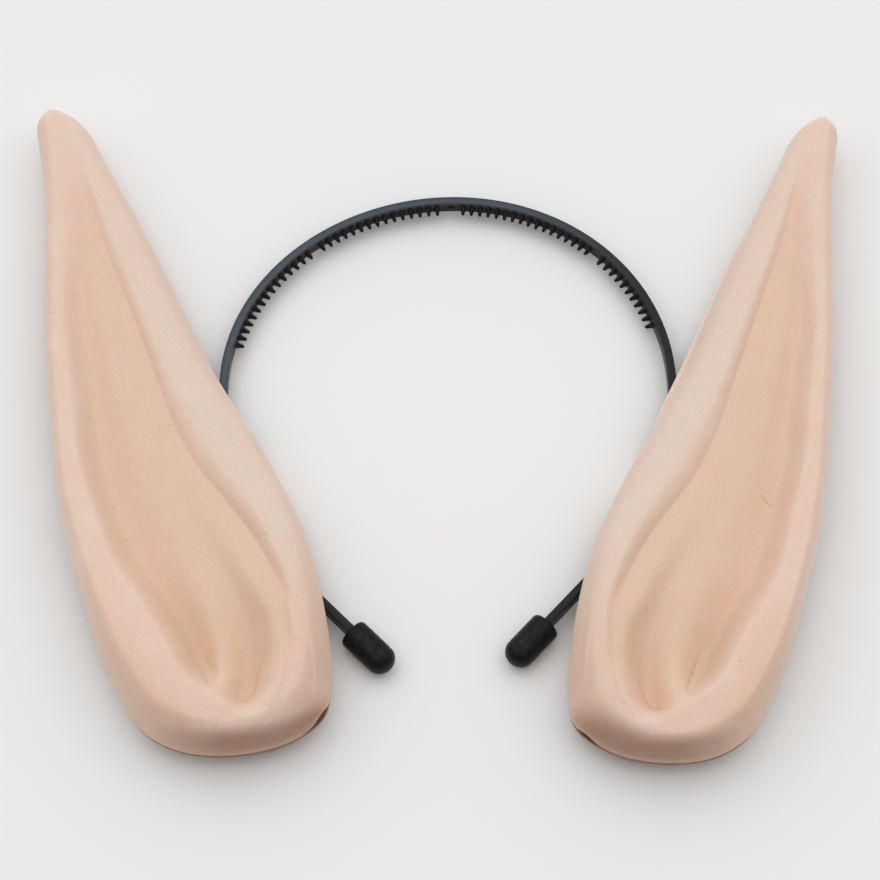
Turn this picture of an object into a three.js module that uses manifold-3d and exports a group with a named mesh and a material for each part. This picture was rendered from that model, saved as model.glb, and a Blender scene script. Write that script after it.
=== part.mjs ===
// Elf ear headband: a pair of hollow moulded foam ears threaded on a toothed plastic hair band.
// Millimetres, +Z up. It lies on its back: ear fronts up, ear tips and top of the band towards +Y.
// Until the last lines the band's widest row is y = 0, its middle x = 0 and its rear edge z = 0.

import * as THREE from 'three';
import { mergeVertices } from 'three/addons/utils/BufferGeometryUtils.js';
import Module from 'manifold-3d';

const wasm = await Module();
wasm.setup();

// Driving dimensions

const GAP = 0.3;

const BAND = {
  halfWidth: 60.9, // middle line, at the widest row
  crownRise: 57.1, // middle line, from the widest row to the top
  crownSkew: 0.8, // how much fuller the crown's right shoulder is, and how much flatter its left
  thickness: 2.3, // from the outer face to the face with the teeth
  depth: 4.7, // from the rear edge to the front edge
  crownSteps: 64,
  sideSteps: 14,
};

// Below the widest row each end turns inwards on an arc, then runs straight to the mouth of its tip.
const BAND_ENDS = [
  { name: 'left', side: -1, radius: 85.6, turn: 44.5, straight: 15.8 },
  { name: 'right', side: 1, radius: 79, turn: 42, straight: 21.9 },
];

const TOOTH = {
  length: 2.4,
  rootRadius: 1.0,
  endRadius: 0.42,
  broadening: 1.5, // how much longer a tooth is along the band's depth than along the band
  sink: 0.5, // root buried in the band, so that it fuses
  sides: 6,
};

// Runs of teeth on the crown, in degrees from its top, negative on the left.
const TOOTH_RUNS = [
  { from: -75.8, to: -40.6, count: 15 },
  { from: -36.2, to: -2.9, count: 15 },
  { from: 4.1, to: 41.0, count: 17 },
  { from: 45.8, to: 70.2, count: 11 },
];

const TIP = {
  radius: 4.1,
  length: 14.4,
  noseRadius: 3.9,
  mouthRound: 1.1,
  boreRadius: 2.8,
  boreDepth: 9,
  sides: 20,
  roundSteps: 3,
};

const EAR = {
  wall: 3, // moulded front shell
  sheet: 1.5, // flat back sheet
  flankFall: 0.86, // height at the inner edge before it rounds over, as a share of the lip's
  frontRoll: 3.6, // how far in the lobe's front rounds over
  leastRoll: 3.3, // how far in any outer edge rounds over at least
  ribSteps: 3, // ribs for each row of the outline
  edgeSamples: 480,
};

// Strip of the back sheet between two slits, bowed out behind the band to hold it.
const STRAP = {
  length: 16, // along the band
  outerFoot: 9, // from the band's middle line to the outside of the bow's outer foot
  innerFoot: 6.4, // the same on the head's side, where the ear's edge is near
  crownReach: 3.4, // the same at the flat of the bow, on both sides
  turn: 22, // degrees round the band's side arc, where it crosses the ear
};

// Each ear's own axis starts in its lobe and leans outwards. Reaches scale the outline below: its outer and
// inner edges, each at the lobe and at the tip, and its length. The outer roll scales how far in the outer
// edge rounds over. The flange lets the back sheet out. The valley's shift is a share of the rib.
const EARS = [
  {
    name: 'left', side: 1, lobe: [-55.8, -106.9], lean: 16.2, flange: 0.3,
    outerReach: 1, outerTipReach: 1, innerLobeReach: 1, innerTipReach: 1, lengthReach: 1,
    outerRoll: 1, valleyShift: 0,
  },
  {
    name: 'right', side: -1, lobe: [56.6, -109.1], lean: -14.2, flange: 1.7,
    outerReach: 0.92, outerTipReach: 1.04, innerLobeReach: 0.985, innerTipReach: 0.83, lengthReach: 0.99,
    outerRoll: 0.62, valleyShift: -0.045,
  },
];

// Ear outline, a row for each rib from the lobe to the tip.
// Columns: distance along the ear, then outer and inner edge to the sides of its axis.
const OUTLINE = [
  [-1.4, 11, 11],
  [3, -9.9, 25.2],
  [12, -20.3, 30],
  [28, -25, 33.2],
  [54, -27, 34.4],
  [79, -26.6, 30.2],
  [105, -22.9, 23.6],
  [130, -18.4, 19.5],
  [155, -12.3, 15.4],
  [177, -7.4, 10.9],
  [189, -5.9, 8.3],
  [194.5, -4.9, 4.8],
  [197.5, -0.6, -0.6],
];

// Places of the folds, as shares of a rib from its outer edge.
// Columns: distance along, outer rim, outer valley, middle swell, bowl, bowl wall, crease, lip.
const FOLD_PLACES = [
  [0, 0.25, 0.36, 0.42, 0.5, 0.62, 0.74, 0.84],
  [5, 0.3, 0.375, 0.41, 0.49, 0.635, 0.755, 0.84],
  [8, 0.32, 0.38, 0.405, 0.505, 0.665, 0.77, 0.84],
  [10.5, 0.33, 0.388, 0.41, 0.528, 0.695, 0.785, 0.845],
  [13, 0.325, 0.4, 0.425, 0.552, 0.712, 0.795, 0.85],
  [15.5, 0.315, 0.41, 0.443, 0.575, 0.724, 0.803, 0.855],
  [18, 0.295, 0.415, 0.46, 0.593, 0.733, 0.808, 0.86],
  [22, 0.272, 0.415, 0.484, 0.617, 0.747, 0.815, 0.866],
  [30, 0.258, 0.405, 0.515, 0.64, 0.76, 0.828, 0.87],
  [42, 0.212, 0.37, 0.51, 0.61, 0.715, 0.808, 0.857],
  [55, 0.155, 0.3, 0.47, 0.57, 0.67, 0.768, 0.832],
  [67, 0.138, 0.272, 0.44, 0.535, 0.635, 0.715, 0.8],
  [79, 0.128, 0.258, 0.42, 0.51, 0.595, 0.662, 0.765],
  [92, 0.12, 0.26, 0.42, 0.51, 0.585, 0.645, 0.742],
  [105, 0.135, 0.288, 0.42, 0.51, 0.59, 0.655, 0.732],
  [130, 0.14, 0.3, 0.43, 0.5, 0.57, 0.632, 0.712],
  [155, 0.2, 0.38, 0.45, 0.485, 0.52, 0.57, 0.655],
  [177, 0.28, 0.45, 0.48, 0.505, 0.53, 0.575, 0.64],
  [196, 0.28, 0.45, 0.48, 0.505, 0.53, 0.575, 0.64],
];

// Heights of the same folds over the back sheet, then how far in the outer and inner edges round over.
const FOLD_HEIGHTS = [
  [0, 12.6, 12.7, 12.8, 12.9, 13.1, 13.3, 13.5, 4.5, 13],
  [5, 13.2, 13.2, 13.2, 13.1, 13.5, 13.6, 13.7, 7.5, 13],
  [8, 13.6, 13.5, 13.5, 11.2, 13.8, 13.8, 13.9, 9, 12],
  [10.5, 13.8, 13.5, 13.2, 7.9, 13.8, 13.9, 14, 9.4, 11],
  [13, 14, 12.9, 12.2, 7, 13.8, 13.9, 14, 9.2, 10],
  [15.5, 14.1, 11.4, 11, 6.9, 13.7, 13.9, 14, 8.8, 9],
  [18, 14.2, 9, 9.9, 6.8, 13.5, 13.7, 14, 8.4, 8],
  [22, 14.3, 6.8, 9.1, 6.7, 13, 13.5, 13.9, 7.6, 6.8],
  [30, 14.3, 5.8, 8.3, 6.8, 12.1, 12.9, 13.6, 6.4, 5.6],
  [42, 14, 5.5, 8, 7.5, 10.7, 10.8, 12.9, 5.3, 5],
  [55, 13.4, 5.5, 8.2, 8.4, 9.7, 9.6, 12.2, 4.5, 5],
  [67, 12.9, 5.6, 8.4, 8.8, 9.3, 9.2, 11.6, 3.9, 5.2],
  [79, 12.5, 5.7, 8.5, 8.9, 9.1, 9, 11.2, 3.6, 5.4],
  [92, 12, 5.9, 8.5, 8.9, 9, 8.9, 10.9, 3.4, 5.6],
  [105, 11.6, 6.3, 8.5, 8.8, 8.9, 8.8, 10.6, 3.4, 5.8],
  [130, 10.8, 7.1, 8.4, 8.5, 8.6, 8.55, 10, 3.4, 5.8],
  [155, 9.8, 8.1, 8.4, 8.5, 8.5, 8.5, 9.5, 3.6, 5.4],
  [177, 9.1, 8.9, 8.95, 9, 9, 9, 9.1, 4, 5],
  [196, 8, 8, 8, 8, 8, 8, 8, 4.2, 4.2],
];

// Mesh steps between one fold and the next, from the outer edge to the inner edge.
const OUTSIDE_STEPS = [4, 2, 2, 2, 2, 1, 2, 5];
const INSIDE_STEPS = [2, 1, 1, 1, 1, 1, 1, 2];

const FOAM_SKIN = new THREE.MeshStandardMaterial({ color: '#e3c4b0', roughness: 0.85, metalness: 0 });
const FOAM_SHEET = new THREE.MeshStandardMaterial({ color: '#d9b59c', roughness: 0.9, metalness: 0 });
const BAND_PLASTIC = new THREE.MeshStandardMaterial({ color: '#3a4148', roughness: 0.45, metalness: 0 });
const TIP_RUBBER = new THREE.MeshStandardMaterial({ color: '#1b1c1e', roughness: 0.6, metalness: 0 });

// Heights that follow from the sizes: tips and straps share the floor, the sheets clear the band.

const BAND_MIDDLE = BAND.depth / 2;
const SHEET_FRONT = BAND.depth + GAP + EAR.sheet;
const FLOOR = BAND_MIDDLE - TIP.radius;

// Solids and grids

function toSolid(geometry) {
  const bare = geometry.clone();
  bare.deleteAttribute('normal');
  bare.deleteAttribute('uv');
  const merged = mergeVertices(bare);
  return new wasm.Manifold(new wasm.Mesh({
    numProp: 3,
    vertProperties: Float32Array.from(merged.attributes.position.array),
    triVerts: Uint32Array.from(merged.index.array),
  }));
}

function toGeometry(solid) {
  const mesh = solid.getMesh();
  const geometry = new THREE.BufferGeometry();
  geometry.setAttribute('position', new THREE.BufferAttribute(mesh.vertProperties, 3));
  geometry.setIndex(new THREE.BufferAttribute(mesh.triVerts, 1));
  geometry.computeVertexNormals();
  return geometry;
}

// The same surface for the other side: x turned over, and every triangle turned to face outwards again.
function mirror(geometry) {
  geometry.scale(-1, 1, 1);
  const { array } = geometry.index;
  for (let i = 0; i < array.length; i += 3) {
    [array[i], array[i + 1]] = [array[i + 1], array[i]];
  }
  geometry.computeVertexNormals();
}

// Corners of the triangles of a grid of points. Rows run along +Y and columns along +X when it faces up.
function gridCorners(rows, facesUp) {
  const corners = [];
  const addTriangle = (a, b, c) => {
    if (a.equals(b) || b.equals(c) || c.equals(a)) return;
    corners.push(...(facesUp ? [a, b, c] : [a, c, b]));
  };
  for (let i = 0; i + 1 < rows.length; i += 1) {
    for (let j = 0; j + 1 < rows[i].length; j += 1) {
      addTriangle(rows[i][j], rows[i][j + 1], rows[i + 1][j + 1]);
      addTriangle(rows[i][j], rows[i + 1][j + 1], rows[i + 1][j]);
    }
  }
  return corners;
}

// Rows of a table, smoothly filled in between its distances along the ear.
function alongTable(rows) {
  const values = rows.flatMap((row) => row.slice(1));
  const cubic = new THREE.CubicInterpolant(
    Float64Array.from(rows, (row) => row[0]),
    Float64Array.from(values),
    rows[0].length - 1,
  );
  return (along) => Array.from(cubic.evaluate(along));
}

// Smooth curve through the points that never swings past them.
function monotoneCurve(xs, ys) {
  const last = xs.length - 1;
  const rise = (k) => (ys[k + 1] - ys[k]) / (xs[k + 1] - xs[k]);
  const slopes = xs.map((_, k) => {
    if (k === 0 || k === last) return 0;
    const before = rise(k - 1);
    const after = rise(k);
    return before * after > 0 ? (2 * before * after) / (before + after) : 0;
  });
  return (x) => {
    const k = Math.max(0, Math.min(last - 1, xs.findIndex((next) => next > x) - 1));
    const width = xs[k + 1] - xs[k];
    const t = (x - xs[k]) / width;
    const ease = t * t * (3 - 2 * t);
    const lead = t * (1 - t) * (1 - t) * width * slopes[k];
    const trail = t * t * (t - 1) * width * slopes[k + 1];
    return ys[k] + (ys[k + 1] - ys[k]) * ease + lead + trail;
  };
}

function quarterRound(share) {
  const left = 1 - Math.min(1, Math.max(0, share));
  return Math.sqrt(1 - left * left);
}

// Hair band

function crownSpot(degrees) {
  const angle = THREE.MathUtils.degToRad(degrees);
  const height = BAND.crownRise * Math.cos(angle) + BAND.crownSkew * Math.sin(2 * angle);
  const fall = BAND.crownRise * Math.sin(angle) - 2 * BAND.crownSkew * Math.cos(2 * angle);
  const point = new THREE.Vector2(BAND.halfWidth * Math.sin(angle), height);
  const outward = new THREE.Vector2(fall, BAND.halfWidth * Math.cos(angle));
  return { point, outward: outward.normalize() };
}

// Spot on an end: degrees round its side arc, then a length straight on.
function endSpot(end, degrees, straight = 0) {
  const angle = THREE.MathUtils.degToRad(degrees);
  const outward = new THREE.Vector2(end.side * Math.cos(angle), -Math.sin(angle));
  const heading = new THREE.Vector2(-end.side * Math.sin(angle), -Math.cos(angle));
  const arcCentre = new THREE.Vector2(end.side * (BAND.halfWidth - end.radius), 0);
  const point = arcCentre.addScaledVector(outward, end.radius).addScaledVector(heading, straight);
  return { point, outward, heading };
}

function endSpots(end) {
  const spots = [];
  for (let i = 1; i <= BAND.sideSteps; i += 1) {
    spots.push(endSpot(end, (end.turn * i) / BAND.sideSteps));
  }
  spots.push(endSpot(end, end.turn, end.straight + TIP.boreDepth - GAP));
  return spots;
}

function bandShape() {
  const crown = [];
  for (let i = 0; i <= BAND.crownSteps; i += 1) {
    crown.push(crownSpot(-90 + (180 * i) / BAND.crownSteps));
  }
  const [leftEnd, rightEnd] = BAND_ENDS;
  const spots = [...endSpots(leftEnd).reverse(), ...crown, ...endSpots(rightEnd)];
  const offset = (by) => spots.map(({ point, outward }) => point.clone().addScaledVector(outward, by));
  return new THREE.Shape([...offset(BAND.thickness / 2), ...offset(-BAND.thickness / 2).reverse()]);
}

function toothGeometry(degrees) {
  const { point, outward } = crownSpot(degrees);
  const height = TOOTH.length + TOOTH.sink;
  const tooth = new THREE.CylinderGeometry(TOOTH.endRadius, TOOTH.rootRadius, height, TOOTH.sides);
  tooth.scale(1, 1, TOOTH.broadening);
  tooth.rotateZ(Math.atan2(outward.x, -outward.y));
  const middle = point.addScaledVector(outward, TOOTH.sink - BAND.thickness / 2 - height / 2);
  tooth.translate(middle.x, middle.y, BAND_MIDDLE);
  return tooth;
}

function headbandMesh() {
  let solid = toSolid(new THREE.ExtrudeGeometry(bandShape(), { depth: BAND.depth, bevelEnabled: false }));
  for (const { from, to, count } of TOOTH_RUNS) {
    for (let i = 0; i < count; i += 1) {
      const degrees = from + ((to - from) * i) / (count - 1);
      solid = solid.add(toSolid(toothGeometry(degrees)));
    }
  }
  const mesh = new THREE.Mesh(toGeometry(solid), BAND_PLASTIC);
  mesh.name = 'headband';
  return mesh;
}

// Rubber tip: a round-nosed cap, its mouth at the origin and its nose up +Y before it is placed.

function tipMesh(end) {
  const profile = new THREE.Path();
  profile.moveTo(0, TIP.boreDepth);
  profile.lineTo(TIP.boreRadius, TIP.boreDepth);
  profile.lineTo(TIP.boreRadius, 0);
  profile.lineTo(TIP.radius - TIP.mouthRound, 0);
  profile.absarc(TIP.radius - TIP.mouthRound, TIP.mouthRound, TIP.mouthRound, -Math.PI / 2, 0, false);
  profile.lineTo(TIP.radius, TIP.length - TIP.noseRadius);
  profile.absellipse(0, TIP.length - TIP.noseRadius, TIP.radius, TIP.noseRadius, 0, Math.PI / 2, false);
  const points = profile.getPoints(TIP.roundSteps);
  points[points.length - 1].x = 0;
  const mesh = new THREE.Mesh(new THREE.LatheGeometry(points, TIP.sides), TIP_RUBBER);
  const { point, heading } = endSpot(end, end.turn, end.straight);
  mesh.name = `${end.name}_tip`;
  mesh.position.set(point.x, point.y, BAND_MIDDLE);
  mesh.rotation.z = Math.atan2(-heading.x, heading.y);
  return mesh;
}

// Ear form, in the ear's own plane: +Y to the tip, outer edge towards -X, z = 0 on the back sheet's front.

const placesAt = alongTable(FOLD_PLACES);
const heightsAt = alongTable(FOLD_HEIGHTS);

class EarForm {
  constructor(ear) {
    const { lerp } = THREE.MathUtils;
    const { lengthReach } = ear;
    const length = OUTLINE.at(-1)[0];
    const outer = OUTLINE.map(([along, x]) => {
      const reach = lerp(ear.outerReach, ear.outerTipReach, (along / length) ** 6);
      return new THREE.Vector3(x * reach, along * lengthReach);
    });
    const inner = OUTLINE.slice(1, -1).map(([along, , x]) => {
      const reach = lerp(ear.innerLobeReach, ear.innerTipReach, along / length);
      return new THREE.Vector3(x * reach, along * lengthReach);
    });
    this.corners = outer.length + inner.length;
    this.curve = new THREE.CatmullRomCurve3([...outer, ...inner.reverse()], true, 'centripetal');
    this.samples = this.curve.getPoints(EAR.edgeSamples);
    this.lastRow = OUTLINE.length - 1;
    this.lengthReach = lengthReach;
    this.outerRoll = ear.outerRoll;
    this.valleyShift = ear.valleyShift;
  }

  // Edge point at an outline row, moved inwards.
  edge(row, isInner, inset) {
    const t = ((isInner ? this.corners - row : row) / this.corners) % 1;
    const point = this.curve.getPoint(t);
    const tangent = this.curve.getTangent(t);
    return new THREE.Vector2(point.x + tangent.y * inset, point.y - tangent.x * inset);
  }

  distanceToEdge(spot) {
    const spot3 = new THREE.Vector3(spot.x, spot.y, 0);
    const line = new THREE.Line3();
    const closest = new THREE.Vector3();
    let best = Infinity;
    for (let i = 0; i + 1 < this.samples.length; i += 1) {
      line.set(this.samples[i], this.samples[i + 1]);
      line.closestPointToPoint(spot3, true, closest);
      best = Math.min(best, closest.distanceTo(spot3));
    }
    return best;
  }

  // One rib across the surface that lies a wall's thickness inside the outer one.
  rib(row, wall, steps) {
    const { smoothstep } = THREE.MathUtils;
    const outer = this.edge(row, false, wall);
    const inner = this.edge(row, true, wall);
    const along = (outer.y + inner.y) / 2 / this.lengthReach;
    const places = [0, ...placesAt(along), 1];
    const bend = smoothstep(along, 8, 24) * (1 - smoothstep(along, 45, 75));
    places[1] += this.valleyShift * bend;
    places[2] += this.valleyShift * bend;
    const [innerRoll, outerRoll, ...folds] = heightsAt(along).reverse();
    const tightRoll = Math.max(outerRoll * this.outerRoll, EAR.leastRoll);
    const heights = folds.reverse();
    const height = monotoneCurve(places, [heights[0], ...heights, heights.at(-1) * EAR.flankFall]);
    const width = outer.distanceTo(inner);
    return ribShares(places, steps).map((share) => {
      const spot = outer.clone().lerp(inner, share);
      const isEdge = share === 0 || share === 1 || row === 0 || row === this.lastRow;
      if (isEdge) return new THREE.Vector3(spot.x, spot.y, 0);
      const shareOutside = (wall + share * width) / (2 * wall + width);
      const outerMore = (tightRoll - EAR.frontRoll) * (1 - share) ** 4;
      const innerMore = (innerRoll - EAR.frontRoll) * share ** 2.5;
      const roll = EAR.frontRoll + outerMore + innerMore - wall;
      const rise = quarterRound((this.distanceToEdge(spot) - wall) / roll);
      return new THREE.Vector3(spot.x, spot.y, (height(shareOutside) - wall) * rise);
    });
  }

  // Outline of the flat back sheet, let out along the middle of the inner edge by a flange.
  sheetShape(flange) {
    const { smoothstep } = THREE.MathUtils;
    const count = this.lastRow * EAR.ribSteps;
    const points = [];
    for (let i = 0; i < count; i += 1) {
      points.push(this.edge(i / EAR.ribSteps, false, 0));
    }
    for (let i = count; i > 0; i -= 1) {
      const row = i / EAR.ribSteps;
      const letOut = flange * smoothstep(row, 5.2, 6) * (1 - smoothstep(row, 7.4, 8.5));
      points.push(this.edge(row, true, -letOut));
    }
    return new THREE.Shape(points);
  }
}

// Shares of a rib at which the mesh has its lines: on every fold, and closer together near the edges.
function ribShares(places, steps) {
  const shares = [0];
  steps.forEach((count, k) => {
    for (let i = 1; i <= count; i += 1) {
      let t = i / count;
      if (k === 0) t = 1 - Math.cos((t * Math.PI) / 2);
      if (k === steps.length - 1) t = Math.sin((t * Math.PI) / 2);
      shares.push(i === count ? places[k + 1] : THREE.MathUtils.lerp(places[k], places[k + 1], t));
    }
  });
  return shares;
}

function shellGeometry(form) {
  const outside = [];
  const inside = [];
  for (let i = 0; i <= form.lastRow * EAR.ribSteps; i += 1) {
    outside.push(form.rib(i / EAR.ribSteps, 0, OUTSIDE_STEPS));
    inside.push(form.rib(i / EAR.ribSteps, EAR.wall, INSIDE_STEPS));
  }
  const outerFoot = outside.map((rib, i) => [rib[0], inside[i][0]]);
  const innerFoot = outside.map((rib, i) => [inside[i].at(-1), rib.at(-1)]);
  const corners = [
    ...gridCorners(outside, true),
    ...gridCorners(inside, false),
    ...gridCorners(outerFoot, false),
    ...gridCorners(innerFoot, false),
  ];
  const geometry = mergeVertices(new THREE.BufferGeometry().setFromPoints(corners));
  geometry.computeVertexNormals();
  return geometry;
}

// Bow of the strap in the plane across the band, from its feet in the sheet down to the floor.
// The head's side is towards +X.
function strapShape() {
  const top = -GAP;
  const bottom = FLOOR - SHEET_FRONT;
  const { outerFoot, innerFoot, crownReach } = STRAP;
  const { sheet } = EAR;
  return new THREE.Shape([
    new THREE.Vector2(-outerFoot, top),
    new THREE.Vector2(-crownReach, bottom),
    new THREE.Vector2(crownReach, bottom),
    new THREE.Vector2(innerFoot, top),
    new THREE.Vector2(innerFoot - sheet, top),
    new THREE.Vector2(crownReach - sheet / 2, bottom + sheet),
    new THREE.Vector2(sheet / 2 - crownReach, bottom + sheet),
    new THREE.Vector2(sheet - outerFoot, top),
  ]);
}

// Back sheet, with the strap where the band crosses it: spot and bearing are in the plain ear's plane.
function backGeometry(form, flange, spot, bearing) {
  const outline = form.sheetShape(flange);
  const sheet = new THREE.ExtrudeGeometry(outline, { depth: EAR.sheet, bevelEnabled: false });
  sheet.translate(0, 0, -EAR.sheet);
  const openingWidth = STRAP.outerFoot + STRAP.innerFoot - 2 * EAR.sheet;
  const opening = new THREE.BoxGeometry(openingWidth, STRAP.length, 3 * EAR.sheet);
  opening.translate((STRAP.innerFoot - STRAP.outerFoot) / 2, 0, 0);
  const bow = new THREE.ExtrudeGeometry(strapShape(), { depth: STRAP.length, bevelEnabled: false });
  bow.translate(0, 0, -STRAP.length / 2);
  bow.rotateX(Math.PI / 2);
  for (const piece of [opening, bow]) {
    piece.rotateZ(bearing);
    piece.translate(spot.x, spot.y, 0);
  }
  return toGeometry(toSolid(sheet).subtract(toSolid(opening)).add(toSolid(bow)));
}

function earGroup(ear, end) {
  const group = new THREE.Group();
  group.position.set(ear.lobe[0], ear.lobe[1], SHEET_FRONT);
  group.rotation.z = THREE.MathUtils.degToRad(ear.lean);
  group.updateMatrixWorld();

  const form = new EarForm(ear);
  const front = new THREE.Mesh(shellGeometry(form), FOAM_SKIN);
  front.name = `${ear.name}_ear_front`;
  front.position.z = GAP;

  const { point, heading } = endSpot(end, STRAP.turn);
  const spot = group.worldToLocal(new THREE.Vector3(point.x, point.y, SHEET_FRONT));
  spot.x *= ear.side;
  const bearing = ear.side * (Math.atan2(heading.x, -heading.y) - group.rotation.z);
  const back = new THREE.Mesh(backGeometry(form, ear.flange, spot, bearing), FOAM_SHEET);
  back.name = `${ear.name}_ear_back`;

  if (ear.side < 0) {
    mirror(front.geometry);
    mirror(back.geometry);
  }
  group.add(front, back);
  return group;
}

// The whole thing, stood on its lowest faces with the middle of its footprint at the origin

const headband = new THREE.Group();
headband.add(headbandMesh());
BAND_ENDS.forEach((end, i) => headband.add(tipMesh(end), earGroup(EARS[i], end)));

const box = new THREE.Box3().setFromObject(headband, true);
const centre = box.getCenter(new THREE.Vector3());
headband.position.set(-centre.x, -centre.y, -box.min.z);

export default headband;
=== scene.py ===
"""Elf ear headband: a toothed hair band that carries two long pointed ears moulded in foam.

Sizes are millimetres until a mesh is made. They are given in a plan where the band's widest row is y = 0,
its middle is x = 0 and its rear edge is z = 0. HairBand.plan_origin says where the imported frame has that.
"""

import logging
import math
from dataclasses import dataclass, field
from enum import Enum
from typing import Any, ClassVar

import bmesh
import bpy
import numpy as np
from numpy.typing import NDArray
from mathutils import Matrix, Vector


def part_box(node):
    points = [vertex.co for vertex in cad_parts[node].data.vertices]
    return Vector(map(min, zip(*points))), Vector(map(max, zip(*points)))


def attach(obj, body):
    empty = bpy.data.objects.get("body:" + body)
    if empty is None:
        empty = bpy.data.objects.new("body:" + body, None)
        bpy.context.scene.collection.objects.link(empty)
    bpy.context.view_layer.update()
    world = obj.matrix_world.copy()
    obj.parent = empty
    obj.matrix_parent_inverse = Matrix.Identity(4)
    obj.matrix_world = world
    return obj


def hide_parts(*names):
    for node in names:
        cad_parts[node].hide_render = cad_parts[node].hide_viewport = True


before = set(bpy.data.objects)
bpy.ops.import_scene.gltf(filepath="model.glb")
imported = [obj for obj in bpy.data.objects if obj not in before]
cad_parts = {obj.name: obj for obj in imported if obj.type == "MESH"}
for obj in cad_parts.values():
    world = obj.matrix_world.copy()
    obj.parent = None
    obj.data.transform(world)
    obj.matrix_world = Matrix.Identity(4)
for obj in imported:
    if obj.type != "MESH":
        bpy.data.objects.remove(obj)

Array = NDArray[np.float64]

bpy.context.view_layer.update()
LOG = logging.getLogger("elf_ear_headband")
METRES = 0.001


class Side(Enum):
    """Which side of the picture a piece is on; the value is its sign along x."""

    LEFT = -1
    RIGHT = 1

    @property
    def label(self) -> str:
        """Start of the names of this side's pieces."""
        return self.name.lower()


# Curves and grids


def cubic_rows(table: Array, at: Array) -> Array:
    """Fills in a table smoothly between its rows.

    Formula: in each interval a cubic whose slope at a row is the slope from the row before to the row
    after, weighted by the unequal steps, and which runs out straight at both ends.

    Args:
        table: Rows of a place followed by values, places rising.
        at: Places to fill in.

    Returns:
        Values at each place, one row each.
    """
    places, values = table[:, 0], table[:, 1:]
    last = len(places) - 1
    spot = np.clip(at, places[0], places[-1])
    high = np.clip(np.searchsorted(places, spot, side="right"), 1, last)
    low = high - 1
    step = places[high] - places[low]
    before = np.where(low > 0, low - 1, high)
    after = np.where(high < last, high + 1, low)
    lead = 0.5 * step / (places[low] - places[before])
    trail = 0.5 * step / (places[after] - places[high])
    p = (spot - places[low]) / step
    weights = (
        -lead * p**3 + 2 * lead * p**2 - lead * p,
        (1 + lead) * p**3 - (1.5 + 2 * lead) * p**2 + (lead - 0.5) * p + 1,
        -(1 + trail) * p**3 + (1.5 + trail) * p**2 + 0.5 * p,
        trail * p**3 - trail * p**2,
    )
    rows = (before, low, high, after)
    return sum(w[:, None] * values[row] for w, row in zip(weights, rows))


def fold_curve(places: Array, heights: Array, at: Array, kink: int, kink_slope: Array) -> Array:
    """Height of each rib's folds across it.

    Formula: cubic Hermite pieces between the folds, whose slope at a fold is the harmonic mean of the
    slopes beside it and zero at a crest or a trough, so that it never swings past a fold. After the kink
    fold the slope starts at a share of the mean slope of that piece, which leaves a sharp inner corner.

    Args:
        places: Share of the rib at each fold, a row for each rib.
        heights: Height at each fold, a row for each rib.
        at: Shares to work out, a row for each rib.
        kink: Number of the fold with the sharp corner.
        kink_slope: Share of the mean slope that the corner starts with, for each rib.

    Returns:
        Heights at those shares, a row for each rib.
    """
    steps = np.diff(places, axis=1)
    rise = np.diff(heights, axis=1) / steps
    product = rise[:, :-1] * rise[:, 1:]
    total = rise[:, :-1] + rise[:, 1:]
    mean = np.where(product > 0, 2 * product / np.where(product > 0, total, 1), 0)
    slopes = np.pad(mean, ((0, 0), (1, 1)))
    starts, ends = slopes[:, :-1].copy(), slopes[:, 1:]
    starts[:, kink] = kink_slope * rise[:, kink]
    piece = (at[:, :, None] >= places[:, None, 1:-1]).sum(axis=2)

    def pick(values: Array) -> Array:
        """Value of each share's own piece."""
        return np.take_along_axis(values, piece, axis=1)

    width = pick(steps)
    t = (at - pick(places[:, :-1])) / width
    ease = t * t * (3 - 2 * t)
    bend = t * (1 - t) ** 2 * width * pick(starts) + t * t * (t - 1) * width * pick(ends)
    return pick(heights[:, :-1]) * (1 - ease) + pick(heights[:, 1:]) * ease + bend


def quarter_round(share: Array) -> Array:
    """Quarter of a circle: 0 at 0, rising upright, to 1 at 1 and on."""
    return np.sqrt(1 - (1 - np.clip(share, 0, 1)) ** 2)


def smooth_step(low: float | Array, high: float, at: Array) -> Array:
    """0 below low, 1 above high and a smooth cubic between."""
    t = np.clip((at - low) / (high - low), 0, 1)
    return t * t * (3 - 2 * t)


def bell(offset: Array, width: float | Array) -> Array:
    """Bell curve, 1 in the middle and about a third at the width."""
    return np.exp(-((offset / width) ** 2))


def loop_points(loop: Array, at: Array) -> tuple[Array, Array]:
    """Points and headings on a closed smooth curve.

    Formula: centripetal Catmull-Rom, in which each corner's share of the parameter grows with the root
    of its distance to the next.

    Args:
        loop: Corners of the curve, in order.
        at: Parameters, one for each corner from zero.

    Returns:
        Points, and unit headings along the curve.
    """
    count = len(loop)
    index = np.floor(at).astype(int)
    p = (at - index)[:, None]
    a, b, c, d = (loop[(index + k) % count] for k in (-1, 0, 1, 2))
    ab, bc, cd = (np.linalg.norm(y - x, axis=1, keepdims=True) ** 0.5 for x, y in ((a, b), (b, c), (c, d)))
    leave = bc * ((b - a) / ab - (c - a) / (ab + bc) + (c - b) / bc)
    reach = bc * ((c - b) / bc - (d - b) / (bc + cd) + (d - c) / cd)
    square = 3 * (c - b) - 2 * leave - reach
    cube = 2 * (b - c) + leave + reach
    points = b + leave * p + square * p**2 + cube * p**3
    heading = leave + 2 * square * p + 3 * cube * p**2
    return points, heading / np.linalg.norm(heading, axis=1, keepdims=True)


def turned(points: Array, degrees: float) -> Array:
    """Points turned about z, anticlockwise from above."""
    angle = math.radians(degrees)
    x, y = points[..., 0], points[..., 1]
    out = points.copy()
    out[..., 0] = x * math.cos(angle) - y * math.sin(angle)
    out[..., 1] = x * math.sin(angle) + y * math.cos(angle)
    return out


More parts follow.
